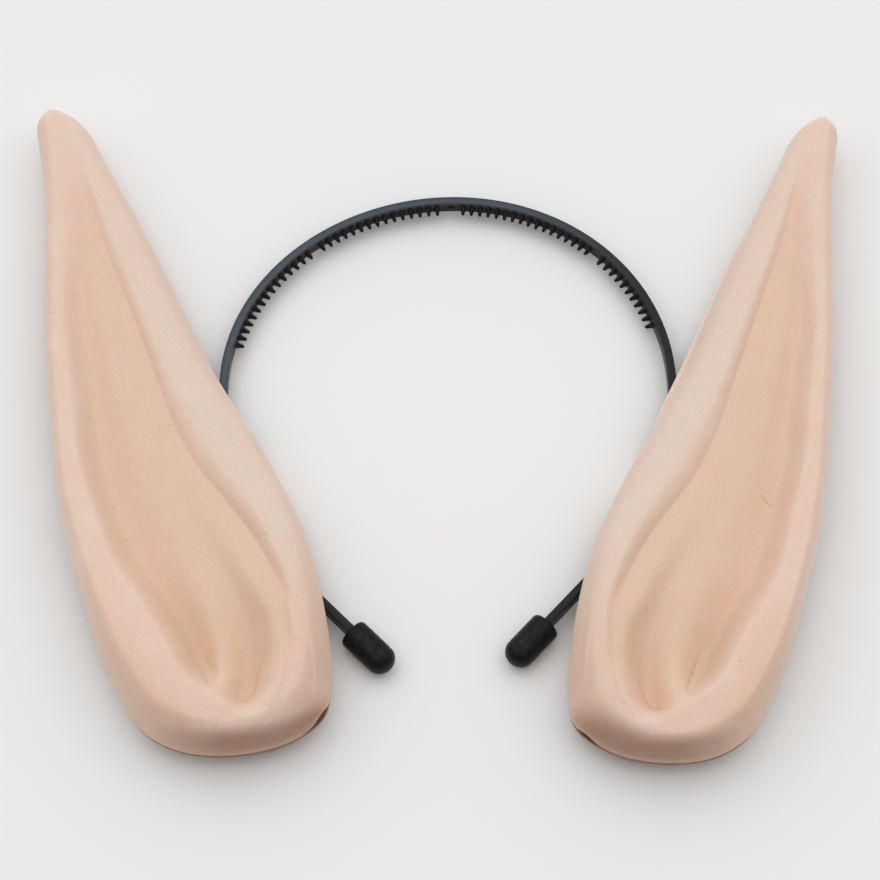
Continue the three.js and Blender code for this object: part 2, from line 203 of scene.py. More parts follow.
def distance_to_path(spots: Array, path: Array) -> tuple[Array, Array, Array]:
    """Nearest place on a path of straight pieces, for many spots at once.

    Args:
        spots: Places in plan.
        path: Corners of the path in plan.

    Returns:
        Distances, the side of the path (1 to its left, -1 to its right), and the share of the path's
        pieces that lies before the nearest place.
    """
    start, step = path[:-1], np.diff(path, axis=0)
    away = spots[:, None, :] - start[None]
    share = np.clip((away * step).sum(axis=2) / (step**2).sum(axis=1), 0, 1)
    gap = away - share[:, :, None] * step
    squares = (gap**2).sum(axis=2)
    best = squares.argmin(axis=1)
    row = np.arange(len(spots))
    cross = step[best, 0] * gap[row, best, 1] - step[best, 1] * gap[row, best, 0]
    return np.sqrt(squares[row, best]), np.sign(cross), (best + share[row, best]) / len(step)


@dataclass
class Surface:
    """Points, faces and shades of colour of a mesh in the making.

    A shade is a number for each point, by name, that the finish reads.
    """

    points: Array
    faces: NDArray[np.int64]
    shades: dict[str, Array] = field(default_factory=dict)

    @staticmethod
    def from_grid(points: Array, flip: bool = False, **shades: Array) -> "Surface":
        """Faces over a grid of points.

        Args:
            points: Rows by columns by three. It faces +z when rows run along +y and columns along +x.
            flip: Turns it over.
            **shades: Shades on the same grid.

        Returns:
            The surface.
        """
        rows, columns = points.shape[:2]
        corner = (np.arange(rows - 1)[:, None] * columns + np.arange(columns - 1)).ravel()
        faces = np.stack([corner, corner + 1, corner + columns + 1, corner + columns], axis=1)
        return Surface(
            points.reshape(-1, 3),
            faces[:, ::-1] if flip else faces,
            {name: np.broadcast_to(shade, (rows, columns)).ravel() for name, shade in shades.items()},
        )

    @staticmethod
    def joined(parts: list["Surface"]) -> "Surface":
        """Several surfaces as one; a shade that one lacks is zero there."""
        firsts = np.cumsum([0, *(len(part.points) for part in parts)])
        names = sorted({name for part in parts for name in part.shades})
        return Surface(
            np.vstack([part.points for part in parts]),
            np.vstack([part.faces + first for part, first in zip(parts, firsts)]),
            {
                name: np.concatenate([part.shades.get(name, np.zeros(len(part.points))) for part in parts])
                for name in names
            },
        )

    def to_object(self, name: str, origin: Array) -> bpy.types.Object:
        """Makes a mesh object, with doubled points welded so that seams and poles close.

        Args:
            name: Name of the piece.
            origin: Where the plan's origin lies in the frame, in millimetres.

        Returns:
            The new object, at the origin of the frame.
        """
        mesh = bpy.data.meshes.new(name)
        mesh.from_pydata((self.points + origin) * METRES, [], self.faces.tolist())
        for shade, values in self.shades.items():
            attribute = mesh.attributes.new(shade, "FLOAT", "POINT")
            attribute.data.foreach_set("value", values.astype(np.float32))
        weld = bmesh.new()
        weld.from_mesh(mesh)
        bmesh.ops.remove_doubles(weld, verts=weld.verts, dist=1e-7)
        weld.to_mesh(mesh)
        weld.free()
        mesh.polygons.foreach_set("use_smooth", np.ones(len(mesh.polygons), dtype=bool))
        made = bpy.data.objects.new(name, mesh)
        bpy.context.scene.collection.objects.link(made)
        return made


# Finishes


def linear(colour: str, alpha: float = 1.0) -> tuple[float, float, float, float]:
    """Linear colour of an sRGB hex value.

    Args:
        colour: Hex value with a leading hash.
        alpha: Opacity.

    Returns:
        Linear red, green, blue and the opacity.
    """
    parts = (int(colour[k : k + 2], 16) / 255 for k in (1, 3, 5))
    red, green, blue = (c / 12.92 if c <= 0.04045 else ((c + 0.055) / 1.055) ** 2.4 for c in parts)
    return red, green, blue, alpha


def per_metre(millimetres: float) -> float:
    """Scale of a pattern on Object coordinates whose cells are so many millimetres wide."""
    return 1 / (millimetres * METRES)


def add_node(
    tree: bpy.types.NodeTree,
    kind: str,
    inputs: dict[str | int, Any] | None = None,
    **settings: Any,
) -> bpy.types.Node:
    """Adds a node with its settings and links.

    Args:
        tree: Node tree of the material.
        kind: Blender's name of the node.
        inputs: Value, or output socket to link from, for each input by name or number.
        **settings: Properties of the node.

    Returns:
        The node.
    """
    node = tree.nodes.new(kind)
    for name, value in settings.items():
        setattr(node, name, value)
    for key, value in (inputs or {}).items():
        if isinstance(value, bpy.types.NodeSocket):
            tree.links.new(value, node.inputs[key])
        else:
            node.inputs[key].default_value = value
    return node


MIX_A, MIX_B, MIX_RESULT = 6, 7, 2  # sockets of a Mix node set to colours


def blank_material(name: str) -> tuple[bpy.types.Material, bpy.types.NodeTree, bpy.types.NodeSocket]:
    """Starts a material that has Object coordinates and nothing else.

    Args:
        name: Its name.

    Returns:
        The material, its node tree and the socket of the coordinates.
    """
    made = bpy.data.materials.new(name)
    made.use_nodes = True
    made.node_tree.nodes.clear()
    place = add_node(made.node_tree, "ShaderNodeTexCoord").outputs["Object"]
    return made, made.node_tree, place


@dataclass(frozen=True)
class MouldedFoam:
    """Skin of self-skinned foam rubber, cast in a mould and pigmented right through.

    It is matt with the faintest sheen, lets a little light in and gives it back warmer, is mottled where
    the pigment settled, and has the odd burst bubble as a dark pinhole. The tan is painted shade in the
    hollows, on steep walls and on the lobe's sides, and lies lighter over the whole panel between the
    folds. The deep and underside colours are painted shade, and the grime colour is dirt along fine lines
    and painted shade in cracks, slits, the cavity and along the seam.
    """

    name: str
    skin: str
    pale: str
    flank: str
    # The hollow colour is painted shade in hollows and on steep walls and a lighter tan over the panel; the
    # next two colours are painted shade, and the grime colour is dirt and painted shade.
    hollow: str
    deep: str
    under: str
    grime: str
    line_mm: float = 0.3
    mottle_mm: float = 9.0
    grain_mm: float = 0.7  # the real grain is near 0.3 mm, drawn coarser so that it shows
    pinhole_mm: float = 11.0
    pinhole_share: float = 0.022
    roughness: float = 0.62
    glow_mm: float = 1.6
    # how dark a pinhole is drawn, towards the grime colour
    pinhole_dirt: float = 0.55
    sheen: float = 0.25  # of the fine open cells at grazing angles
    SHADES: ClassVar[tuple[str, ...]] = ("flank", "hollow", "deep", "under", "grime", "line_gap", "line_dirt")

    def material(self) -> bpy.types.Material:
        """Builds the material.

        Returns:
            The new material.
        """
        made, tree, place = blank_material(self.name)
        clouds, grain = (
            add_node(
                tree, "ShaderNodeTexNoise", {"Vector": place, "Scale": per_metre(size), "Detail": detail}
            ).outputs["Fac"]
            for size, detail in ((self.mottle_mm, 4.0), (self.grain_mm, 3.0))
        )
        cells = add_node(tree, "ShaderNodeTexVoronoi", {"Vector": place, "Scale": per_metre(self.pinhole_mm)})
        pinhole = add_node(
            tree,
            "ShaderNodeMath",
            {0: cells.outputs["Distance"], 1: self.pinhole_share},
            operation="LESS_THAN",
        )
        shade = {
            name: add_node(tree, "ShaderNodeAttribute", attribute_name=name).outputs["Fac"]
            for name in self.SHADES
        }
        apart = add_node(tree, "ShaderNodeMath", {0: shade["line_gap"]}, operation="ABSOLUTE")
        cloudy, speckle, rough, inked = (
            add_node(tree, "ShaderNodeMapRange", dict(enumerate(values))).outputs[0]
            for values in (
                (clouds, 0.35, 0.68, 0.0, 1.0),
                (grain, 0.3, 0.7, 0.955, 1.03),
                (clouds, 0.3, 0.7, self.roughness - 0.06, self.roughness + 0.06),
                (apart.outputs[0], 0.0, self.line_mm, 1.0, 0.0),
            )
        )
        lined = add_node(tree, "ShaderNodeMath", {0: inked, 1: shade["line_dirt"]}, operation="MULTIPLY")
        pitted = add_node(
            tree,
            "ShaderNodeMath",
            {0: pinhole.outputs[0], 1: self.pinhole_dirt, 2: lined.outputs[0]},
            operation="MULTIPLY_ADD",
        )
        colour: Any = linear(self.skin)
        # The hollow, deep and underside mixes paint shade into the colour, and the grime mixes paint dirt and
        # shade.
        for amount, tint, blend in (
            (cloudy, linear(self.pale), "MIX"),
            (shade["flank"], linear(self.flank), "MIX"),
            (shade["hollow"], linear(self.hollow), "MIX"),
            (shade["deep"], linear(self.deep), "MIX"),
            (shade["under"], linear(self.under), "MIX"),
            (1.0, speckle, "MULTIPLY"),
            (shade["grime"], linear(self.grime), "MIX"),
            (pitted.outputs[0], linear(self.grime), "MIX"),
        ):
            inputs = {0: amount, MIX_A: colour, MIX_B: tint}
            mixed = add_node(tree, "ShaderNodeMix", inputs, data_type="RGBA", blend_type=blend)
            colour = mixed.outputs[MIX_RESULT]
        bump = add_node(tree, "ShaderNodeBump", {"Strength": 0.25, "Distance": 0.00012, "Height": grain})
        shader = add_node(
            tree,
            "ShaderNodeBsdfPrincipled",
            {
                "Base Color": colour,
                "Roughness": rough,
                "Normal": bump.outputs[0],
                "IOR": 1.45,
                "Subsurface Weight": 0.3,
                "Subsurface Radius": (1.0, 0.45, 0.25),
                "Subsurface Scale": self.glow_mm * METRES,
                "Specular IOR Level": 0.35,
                "Sheen Weight": self.sheen,
                "Sheen Roughness": 0.4,
            },
        )
        add_node(tree, "ShaderNodeOutputMaterial", {"Surface": shader.outputs[0]})
        return made


@dataclass(frozen=True)
class BandPlastic:
    """Moulded nylon, dark slate, satin from the tool's fine grind.

    A soft blue-grey sheen is painted on the left and over the top of its front face, where its specular
    level is higher too, and it is duller elsewhere. Dull brown dust stays on the face with the teeth.
    """

    name: str
    # slate is the blue-grey of the painted sheen, black the band's own colour
    slate: str
    black: str
    dust: str
    streak_mm: float = 1.3
    roughness: float = 0.36
    dull: float = 0.12  # specular level away from the painted sheen
    # specular level under the painted sheen
    polished: float = 0.62

    def material(self) -> bpy.types.Material:
        """Builds the material.

        Returns:
            The new material.
        """
        made, tree, place = blank_material(self.name)
        streaks = add_node(
            tree, "ShaderNodeTexNoise", {"Vector": place, "Scale": per_metre(self.streak_mm), "Detail": 5.0}
        )
        dusty = add_node(tree, "ShaderNodeAttribute", attribute_name="dust").outputs["Fac"]
        polish = add_node(tree, "ShaderNodeAttribute", attribute_name="polish").outputs["Fac"]
        # The painted sheen mixes the blue-grey in over the band's own black and raises the specular level.
        bare = add_node(
            tree,
            "ShaderNodeMix",
            {0: polish, MIX_A: linear(self.black), MIX_B: linear(self.slate)},
            data_type="RGBA",
        )
        patchy = add_node(
            tree, "ShaderNodeMapRange", {0: streaks.outputs["Fac"], 1: 0.3, 2: 0.7, 3: 0.5, 4: 1.0}
        )
        amount = add_node(tree, "ShaderNodeMath", {0: dusty, 1: patchy.outputs[0]}, operation="MULTIPLY")
        colour = add_node(
            tree,
            "ShaderNodeMix",
            {0: amount.outputs[0], MIX_A: bare.outputs[MIX_RESULT], MIX_B: linear(self.dust)},
            data_type="RGBA",
        )
        gloss = add_node(
            tree, "ShaderNodeMapRange", {0: polish, 1: 0.0, 2: 1.0, 3: self.dull, 4: self.polished}
        )
        rough = add_node(
            tree,
            "ShaderNodeMapRange",
            {0: streaks.outputs["Fac"], 1: 0.3, 2: 0.7, 3: self.roughness - 0.05, 4: self.roughness + 0.08},
        )
        bump = add_node(
            tree, "ShaderNodeBump", {"Strength": 0.15, "Distance": 0.00004, "Height": streaks.outputs["Fac"]}
        )
        shader = add_node(
            tree,
            "ShaderNodeBsdfPrincipled",
            {
                "Base Color": colour.outputs[MIX_RESULT],
                "Roughness": rough.outputs[0],
                "Normal": bump.outputs[0],
                "Specular IOR Level": gloss.outputs[0],
                "IOR": 1.53,
            },
        )
        add_node(tree, "ShaderNodeOutputMaterial", {"Surface": shader.outputs[0]})
        return made


@dataclass(frozen=True)
class TipRubber:
    """Dip-moulded black PVC rubber: near black, with a dull sheen broken up by a slightly pebbled skin."""

    name: str
    black: str
    bloom: str
    pebble_mm: float = 0.8
    patch_mm: float = 1.7
    roughness: float = 0.45
    gloss: tuple[float, float] = (0.16, 0.28)  # specular level from patch to patch

    def material(self) -> bpy.types.Material:
        """Builds the material.

        Returns:
            The new material.
        """
        made, tree, place = blank_material(self.name)
        pebbles = add_node(
            tree, "ShaderNodeTexNoise", {"Vector": place, "Scale": per_metre(self.pebble_mm), "Detail": 3.0}
        )
        patchy = add_node(
            tree, "ShaderNodeMapRange", {0: pebbles.outputs["Fac"], 1: 0.4, 2: 0.75, 3: 0.0, 4: 1.0}
        )
        colour = add_node(
            tree,
            "ShaderNodeMix",
            {0: patchy.outputs[0], MIX_A: linear(self.black), MIX_B: linear(self.bloom)},
            data_type="RGBA",
        )
        bump = add_node(
            tree, "ShaderNodeBump", {"Strength": 0.3, "Distance": 0.0001, "Height": pebbles.outputs["Fac"]}
        )
        patches = add_node(
            tree, "ShaderNodeTexNoise", {"Vector": place, "Scale": per_metre(self.patch_mm), "Detail": 4.0}
        )
        dull, bright = self.gloss
        gloss = add_node(
            tree, "ShaderNodeMapRange", {0: patches.outputs["Fac"], 1: 0.35, 2: 0.7, 3: dull, 4: bright}
        )
        shader = add_node(
            tree,
            "ShaderNodeBsdfPrincipled",
            {
                "Base Color": colour.outputs[MIX_RESULT],
                "Normal": bump.outputs[0],
                "Roughness": self.roughness,
                "IOR": 1.5,
                "Specular IOR Level": gloss.outputs[0],
            },
        )
        add_node(tree, "ShaderNodeOutputMaterial", {"Surface": shader.outputs[0]})
        return made


FOAM_SKIN = MouldedFoam(
    "moulded_foam_skin",
    skin="#ecceba",
    pale="#eed3c2",
    flank="#e8d3c4",
    hollow="#e5bfa5",
    deep="#c6a580",
    under="#b68f77",
    grime="#8a5f48",
)
FOAM_SHEET = MouldedFoam(
    "foam_sheet_skin",
    skin="#eed6c6",
    pale="#f0dbcd",
    flank="#eed6c6",
    hollow="#dcb08d",
    deep="#c6a580",
    under="#96705a",
    grime="#6e4a38",
)
SLATE_NYLON = BandPlastic("slate_nylon", slate="#16303d", black="#191c1f", dust="#2c2420")
BLACK_RUBBER = TipRubber("black_pvc_rubber", black="#08090a", bloom="#101214")


def dress(
    piece: bpy.types.Object, finish: MouldedFoam | BandPlastic | TipRubber, node: str
) -> bpy.types.Object:
    """Gives a piece its finish and its place in the frame.

    Args:
        piece: The new piece.
        finish: Its finish.
        node: CAD node that it stands for.

    Returns:
        The piece.
    """
    known = bpy.data.materials.get(finish.name)
    piece.data.materials.append(known or finish.material())
    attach(piece, "root")
    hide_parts(node)
    LOG.info("%s: %d faces, stands for %s", piece.name, len(piece.data.polygons), node)
    return piece


# Hair band


@dataclass(frozen=True)
class BandEnd:
    """One end of the band: an arc below the widest row, then a straight run into its rubber tip."""

    side: Side
    radius: float
    turn: float
    straight: float


@dataclass(frozen=True)
class ToothRun:
    """A run of evenly spaced teeth, in degrees from the top of the crown, negative on the left."""

    start: float
    end: float
    count: int

    def degrees(self) -> Array:
        """Places of its teeth."""
        return np.linspace(self.start, self.end, self.count)


@dataclass
class HairBand:
    """Slim toothed hair band: half an ellipse over the head, then an arc and a straight run at each end."""

    half_width: float = 60.9
    crown_rise: float = 57.1
    crown_skew: float = 0.8  # how much fuller the crown's right shoulder is, and flatter its left
    thickness: float = 2.3
    depth: float = 4.7
    squareness: float = 9.0
    ends: tuple[BandEnd, BandEnd] = (
        BandEnd(Side.LEFT, radius=85.6, turn=44.5, straight=15.8),
        BandEnd(Side.RIGHT, radius=79.0, turn=42.0, straight=21.9),
    )
    runs: tuple[ToothRun, ...] = (
        ToothRun(-75.8, -40.6, 15),
        ToothRun(-36.2, -2.9, 15),
        ToothRun(4.1, 41.0, 17),
        ToothRun(45.8, 70.2, 11),
    )
    tooth_length: float = 2.4
    tooth_root: float = 0.92
    tooth_end: float = 0.4
    tooth_flare: float = 0.5
    tooth_sink: float = 0.3
    tooth_dome: float = 0.78  # share of its height where its rounded end begins
    tooth_depths: tuple[float, float] = (1.7, 1.35)  # its length along the band's depth over its width
    end_gap: float = 0.3  # from each end of the band to the bottom of its tip's bore
    polish_across: tuple[float, float] = (62, 10)  # from the right end of the crown to the painted sheen
    polish_up: tuple[float, float] = (-24, 6)  # from the dull ends up to the painted sheen
    # share of the painted sheen that is left on the right and at the ends
    least_polish: float = 0.12
    gate_degrees: float = 0.9  # stub of the mould's gate, between the middle runs
    gate_radius: float = 1.2
    gate_height: float = 0.5
    gate_end: float = 0.72
    gate_flare: float = 0.3

    def plan_origin(self) -> Array:
        """Where the plan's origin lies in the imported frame, in millimetres."""
        low, high = (np.array(corner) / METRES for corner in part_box("headband"))
        top = self.crown_rise + self.thickness / 2
        return np.array([(low[0] + high[0]) / 2, high[1] - top, low[2]])

    def crown(self, degrees: Array) -> tuple[Array, Array]:
        """Middle line of the crown.

        Formula: an ellipse by its angle from the top, with a small sine of twice that angle added to its
        height; outwards is its normal.

        Args:
            degrees: Angles from the top, negative on the left.

        Returns:
            Points and outward directions in plan.
        """
        angle = np.radians(degrees)
        height = self.crown_rise * np.cos(angle) + self.crown_skew * np.sin(2 * angle)
        fall = self.crown_rise * np.sin(angle) - 2 * self.crown_skew * np.cos(2 * angle)
        points = np.stack([self.half_width * np.sin(angle), height], axis=1)
        outward = np.stack([fall, self.half_width * np.cos(angle)], axis=1)
        return points, outward / np.linalg.norm(outward, axis=1, keepdims=True)

    def end_spots(self, end: BandEnd, degrees: Array, run: Array) -> tuple[Array, Array, Array]:
        """Middle line of an end.

        Formula: a circle that starts upright at the widest row, then its tangent.

        Args:
            end: The end.
            degrees: Angles round the arc.
            run: Lengths straight on from there.

        Returns:
            Points, outward directions and headings towards the tip, in plan.
        """
        angle, sign = np.radians(degrees), end.side.value
        outward = np.stack([sign * np.cos(angle), -np.sin(angle)], axis=1)
        heading = np.stack([-sign * np.sin(angle), -np.cos(angle)], axis=1)
        middle = np.array([sign * (self.half_width - end.radius), 0.0])
        return middle + end.radius * outward + run[:, None] * heading, outward, heading

    def path(self, reach: float) -> tuple[Array, Array]:
        """Middle line of the whole band from the left end to the right.

        Args:
            reach: How far each end goes into its tip.

        Returns:
            Points and outward directions in plan.
        """
        pieces = [self.crown(np.linspace(-90, 90, 221))]
        for end in self.ends:
            arc = np.linspace(0, end.turn, 60)[1:]
            straight = np.linspace(0, end.straight + reach, 24)[1:]
            degrees = np.concatenate([arc, np.full(len(straight), end.turn)])
            run = np.concatenate([np.zeros(len(arc)), straight])
            points, outward, _ = self.end_spots(end, degrees, run)
            if end.side is Side.LEFT:
                pieces.insert(0, (points[::-1], outward[::-1]))
            else:
                pieces.append((points, outward))
        return np.vstack([p for p, _ in pieces]), np.vstack([o for _, o in pieces])

    def strip(self) -> Surface:
        """The band without its teeth.

        Formula: a superellipse, nearly a rectangle with rounded corners, carried along the middle line and
        shrunk to a point at both ends.

        Returns:
            The surface.
        """
        points, outward = self.path(reach=RubberTip.bore_depth - self.end_gap)
        points, outward = (np.vstack([a[:1], a, a[-1:]]) for a in (points, outward))
        angle = np.linspace(0, 2 * np.pi, 61)
        power = 2 / self.squareness
        across = np.sign(np.cos(angle)) * np.abs(np.cos(angle)) ** power * self.thickness / 2
        up = np.sign(np.sin(angle)) * np.abs(np.sin(angle)) ** power * self.depth / 2
        across[-1], up[-1] = across[0], up[0]
        scale = np.ones(len(points))
        scale[[0, -1]] = 0
        grid = np.empty((len(points), len(angle), 3))
        grid[:, :, :2] = points[:, None] + outward[:, None] * (scale[:, None] * across)[:, :, None]
        grid[:, :, 2] = self.depth / 2 + scale[:, None] * up
        side = across / (self.thickness / 2)
        inner = smooth_step(0.4, 1.0, -side) * 0.8
        front = smooth_step(0.5, 0.95, up / (self.depth / 2))
        # Painted sheen on the front face, on the left and over the top of the crown, less towards the outer
        # edge.
        worn = smooth_step(*self.polish_across, points[:, :1]) * smooth_step(*self.polish_up, points[:, 1:])
        polish = front * (1 - 0.5 * smooth_step(0.2, 1.0, side))
        polish = polish * (self.least_polish + (1 - self.least_polish) * worn)
        return Surface.from_grid(grid, dust=inner[None, :], polish=polish)

    def studs(
        self,
        degrees: Array,
        height: float,
        root: float,
        end: float,
        flare: float,
        depths: tuple[float, float] = (1.0, 1.0),
    ) -> Surface:
        """Round studs on the band's inner face.

        Formula: a radius that falls from root to end, flares at the foot by a falling exponential, and
        closes over in a quarter round at the top; along the band's depth it is drawn out by a factor that
        goes from one given share at the root to another at the end.

        Args:
            degrees: Places on the crown.
            height: Height over the inner face.
            root: Radius at the root, along the band.
            end: Radius at the end.
            flare: Added radius at the foot.
            depths: Draw-out along the band's depth at the root and at the end.

        Returns:
            All of them as one surface.
        """
        spots, outward = self.crown(degrees)
        dome = self.tooth_dome
        turn = np.sin(np.linspace(0, np.pi / 2, 6))
        rise = np.concatenate([np.linspace(0, dome, 9), dome + (1 - dome) * turn[1:]])
        radius = end + (root - end) * (1 - rise) ** 1.25 + flare * np.exp(-rise / 0.11)
        radius *= np.sqrt(np.clip(1 - np.clip((rise - dome) / (1 - dome), 0, 1) ** 2, 0, 1))
        rise, radius = np.append(0, rise), np.append(0, radius)
        drawn = depths[0] + (depths[1] - depths[0]) * rise
        angle = np.linspace(0, 2 * np.pi, 15)
        along = radius[:, None] * np.cos(angle)
        up = (radius * drawn)[:, None] * np.sin(angle)
        inward = rise * (height + self.tooth_sink) - self.tooth_sink + self.thickness / 2
        tangent = np.stack([-outward[:, 1], outward[:, 0]], axis=1)
        grids = np.empty((len(spots), len(rise), len(angle), 3))
        grids[..., :2] = (
            spots[:, None, None]
            - outward[:, None, None] * inward[None, :, None, None]
            + tangent[:, None, None] * along[None, :, :, None]
        )
        grids[..., 2] = self.depth / 2 + np.clip(up, -self.depth * 0.48, self.depth * 0.48)
        dust = np.broadcast_to(0.75 * (1 - rise)[:, None], along.shape)
        return Surface.joined([Surface.from_grid(grid, flip=True, dust=dust) for grid in grids])

    def build(self, origin: Array) -> bpy.types.Object:
        """Builds and dresses the band with its teeth and the stub of its gate.

        Args:
            origin: Where the plan's origin lies in the frame.

        Returns:
            The piece.
        """
        degrees = np.concatenate([run.degrees() for run in self.runs])
        teeth = self.studs(
            degrees, self.tooth_length, self.tooth_root, self.tooth_end, self.tooth_flare, self.tooth_depths
        )
        gate = self.studs(
            np.array([self.gate_degrees]), self.gate_height, self.gate_radius, self.gate_end, self.gate_flare
        )
        piece = Surface.joined([self.strip(), teeth, gate]).to_object("toothed_band", origin)
        return dress(piece, SLATE_NYLON, "headband")


@dataclass
class RubberTip:
    """Round-nosed rubber tip pushed on an end of the band."""

    end: BandEnd
    radius: float = 4.1
    length: float = 14.4
    nose: float = 3.9
    mouth_round: float = 1.1
    bore: float = 2.8
    bore_depth: float = 9.0
    groove_depth: float = 0.2
    groove_width: float = 0.22
    flash_degrees: float = 200.0
    flash_width: float = 7.0  # degrees
    flash_height: float = 0.35
    flash_at: float = 3.4  # from the mouth
    flash_length: float = 0.45

    def outline(self) -> Array:
        """Outline of half a section, from the bottom of the bore round the mouth to the nose.

        Formula: straight bore, quarter circles at the mouth, straight side with a fine parting groove where
        the nose begins, and a quarter ellipse for the nose.

        Returns:
            Radius and distance from the mouth, a row each.
        """
        lip_turn = np.linspace(np.pi, 2 * np.pi, 15)
        lip = (self.radius - self.bore) / 2
        mouth = np.stack(
            [self.bore + lip + lip * np.cos(lip_turn), self.mouth_round * (1 + np.sin(lip_turn))], axis=1
        )
        side_at = np.linspace(self.mouth_round, self.length - self.nose, 40)[1:-1]
        side = np.stack([np.full(len(side_at), self.radius), side_at], axis=1)
        turn = np.linspace(0, np.pi / 2, 26)
        nose = np.stack(
            [self.radius * np.cos(turn), self.length - self.nose + self.nose * np.sin(turn)], axis=1
        )
        bore = np.array([[0.0, self.bore_depth], [self.bore, self.bore_depth]])
        outline = np.vstack([bore, mouth, side, nose])
        groove = self.groove_depth * bell(outline[:, 1] - (self.length - self.nose), self.groove_width)
        outline[:, 0] = np.maximum(0, outline[:, 0] - groove * (outline[:, 0] > self.bore + 0.2))
        outline[-1, 0] = 0
        return outline

    def build(self, band: HairBand, origin: Array) -> bpy.types.Object:
        """Builds and dresses the tip.

        Args:
            band: The band that it is pushed on.
            origin: Where the plan's origin lies in the frame.

        Returns:
            The piece.
        """
        outline = self.outline()
        angle = np.linspace(0, 2 * np.pi, 65)
        apart = (np.degrees(angle) - self.flash_degrees + 180) % 360 - 180
        lengthwise = bell(outline[:, 1:] - self.flash_at, self.flash_length)
        flash = self.flash_height * bell(apart, self.flash_width) * lengthwise
        flash = np.where(outline[:, :1] > self.radius * 0.9, flash, 0)
        radius = outline[:, :1] + flash
        spot, outward, heading = (
            a[0] for a in band.end_spots(self.end, np.array([self.end.turn]), np.array([self.end.straight]))
        )
        grid = np.empty((len(outline), len(angle), 3))
        grid[:, :, :2] = (
            spot
            + heading * outline[:, 1, None, None]
            + outward * (radius * np.cos(angle))[:, :, None]
        )
        grid[:, :, 2] = band.depth / 2 + radius * np.sin(angle)
        surface = Surface.from_grid(grid, flip=self.end.side is Side.LEFT)
        label = self.end.side.label
        piece = surface.to_object(f"{label}_rubber_tip", origin)
        return dress(piece, BLACK_RUBBER, f"{label}_tip")


# Ears


@dataclass(frozen=True)
class Line:
    """A fine line pressed into the foam, or standing out of it.

    The path is in the ear's own plan: to the inner side of the axis, then along it from the lobe.
    """

    path: tuple[tuple[float, float], ...]
    depth: float  # negative stands out
    left: float  # half width to the left of the path's direction
    right: float
    # darkening along the line: dirt, and painted shade in a pressed crack
    grime: float = 0.0
    REACH: ClassVar[float] = 1.6  # how far from the path its dirt can show
    EDGE: ClassVar[tuple[float, float]] = (0.2, 2.0)  # in from the ear's edge, where lines come in

    def press(self, spots: Array) -> tuple[Array, Array, Array]:
        """How far the line lowers the surface.

        Formula: a bell curve of the distance to the path, with a width for each side, that fades out
        towards both ends of the path.

        Args:
            spots: Places in the ear's plan.

        Returns:
            Depth at each place, its distance to the path, negative to the right, and how dirty the line is
            beside it.
        """
        corners = np.array(self.path)
        index = np.arange(len(corners), dtype=float)
        fine = cubic_rows(np.column_stack([index, corners]), np.linspace(0, index[-1], 25))
        gap, side, share = distance_to_path(spots, fine)
        fade = np.sin(np.pi * np.clip(share, 0, 1)) ** 0.5
        depth = self.depth * fade * bell(gap, np.where(side > 0, self.left, self.right))
        return depth, side * gap, np.where(gap < self.REACH, self.grime * fade, 0.0)


@dataclass(frozen=True)
class SeamGap:
    """A stretch of the inner edge where the moulded front stands off its back sheet."""

    row: float  # row of the outline, counted from the lobe
    reach: float  # half length, in rows
    lift: float


@dataclass(frozen=True)
class EarFit:
    """How one ear differs from the common form, and where it sits."""

    side: Side
    lobe: tuple[float, float]
    lean: float
    flange: float
    outer_reach: float = 1.0
    outer_tip_reach: float = 1.0
    outer_roll: float = 1.0
    valley_shift: float = 0.0
    inner_lobe_reach: float = 1.0
    inner_tip_reach: float = 1.0
    length_reach: float = 1.0
    lines: tuple[Line, ...] = ()
    gaps: tuple[SeamGap, ...] = ()
    nub_row: float | None = None
    shade_reach: float = 4.0  # how far up from the edge the painted shade reaches at the lobe's inner corner

    @property
    def hand(self) -> int:
        """1 where the ear's plan is as given, -1 where it is mirrored."""
        return -self.side.value


@dataclass
class RibGrid:
    """Grid of an ear's surface: a row of points for each rib, and what its tints are worked out from."""

    points: Array  # z is over the front of the back sheet
    rows: Array  # row of the outline, one for each rib
    along: Array  # place along the ear, one for each rib
    width: Array  # from the outer to the inner edge, one for each rib
    shares: Array  # share of its rib at each point
    places: Array  # share of the rib at its ends and folds
    folds: Array  # heights of the folds
    height: Array  # height of each point before the edge rounds over
    distance: Array  # from each point to the edge


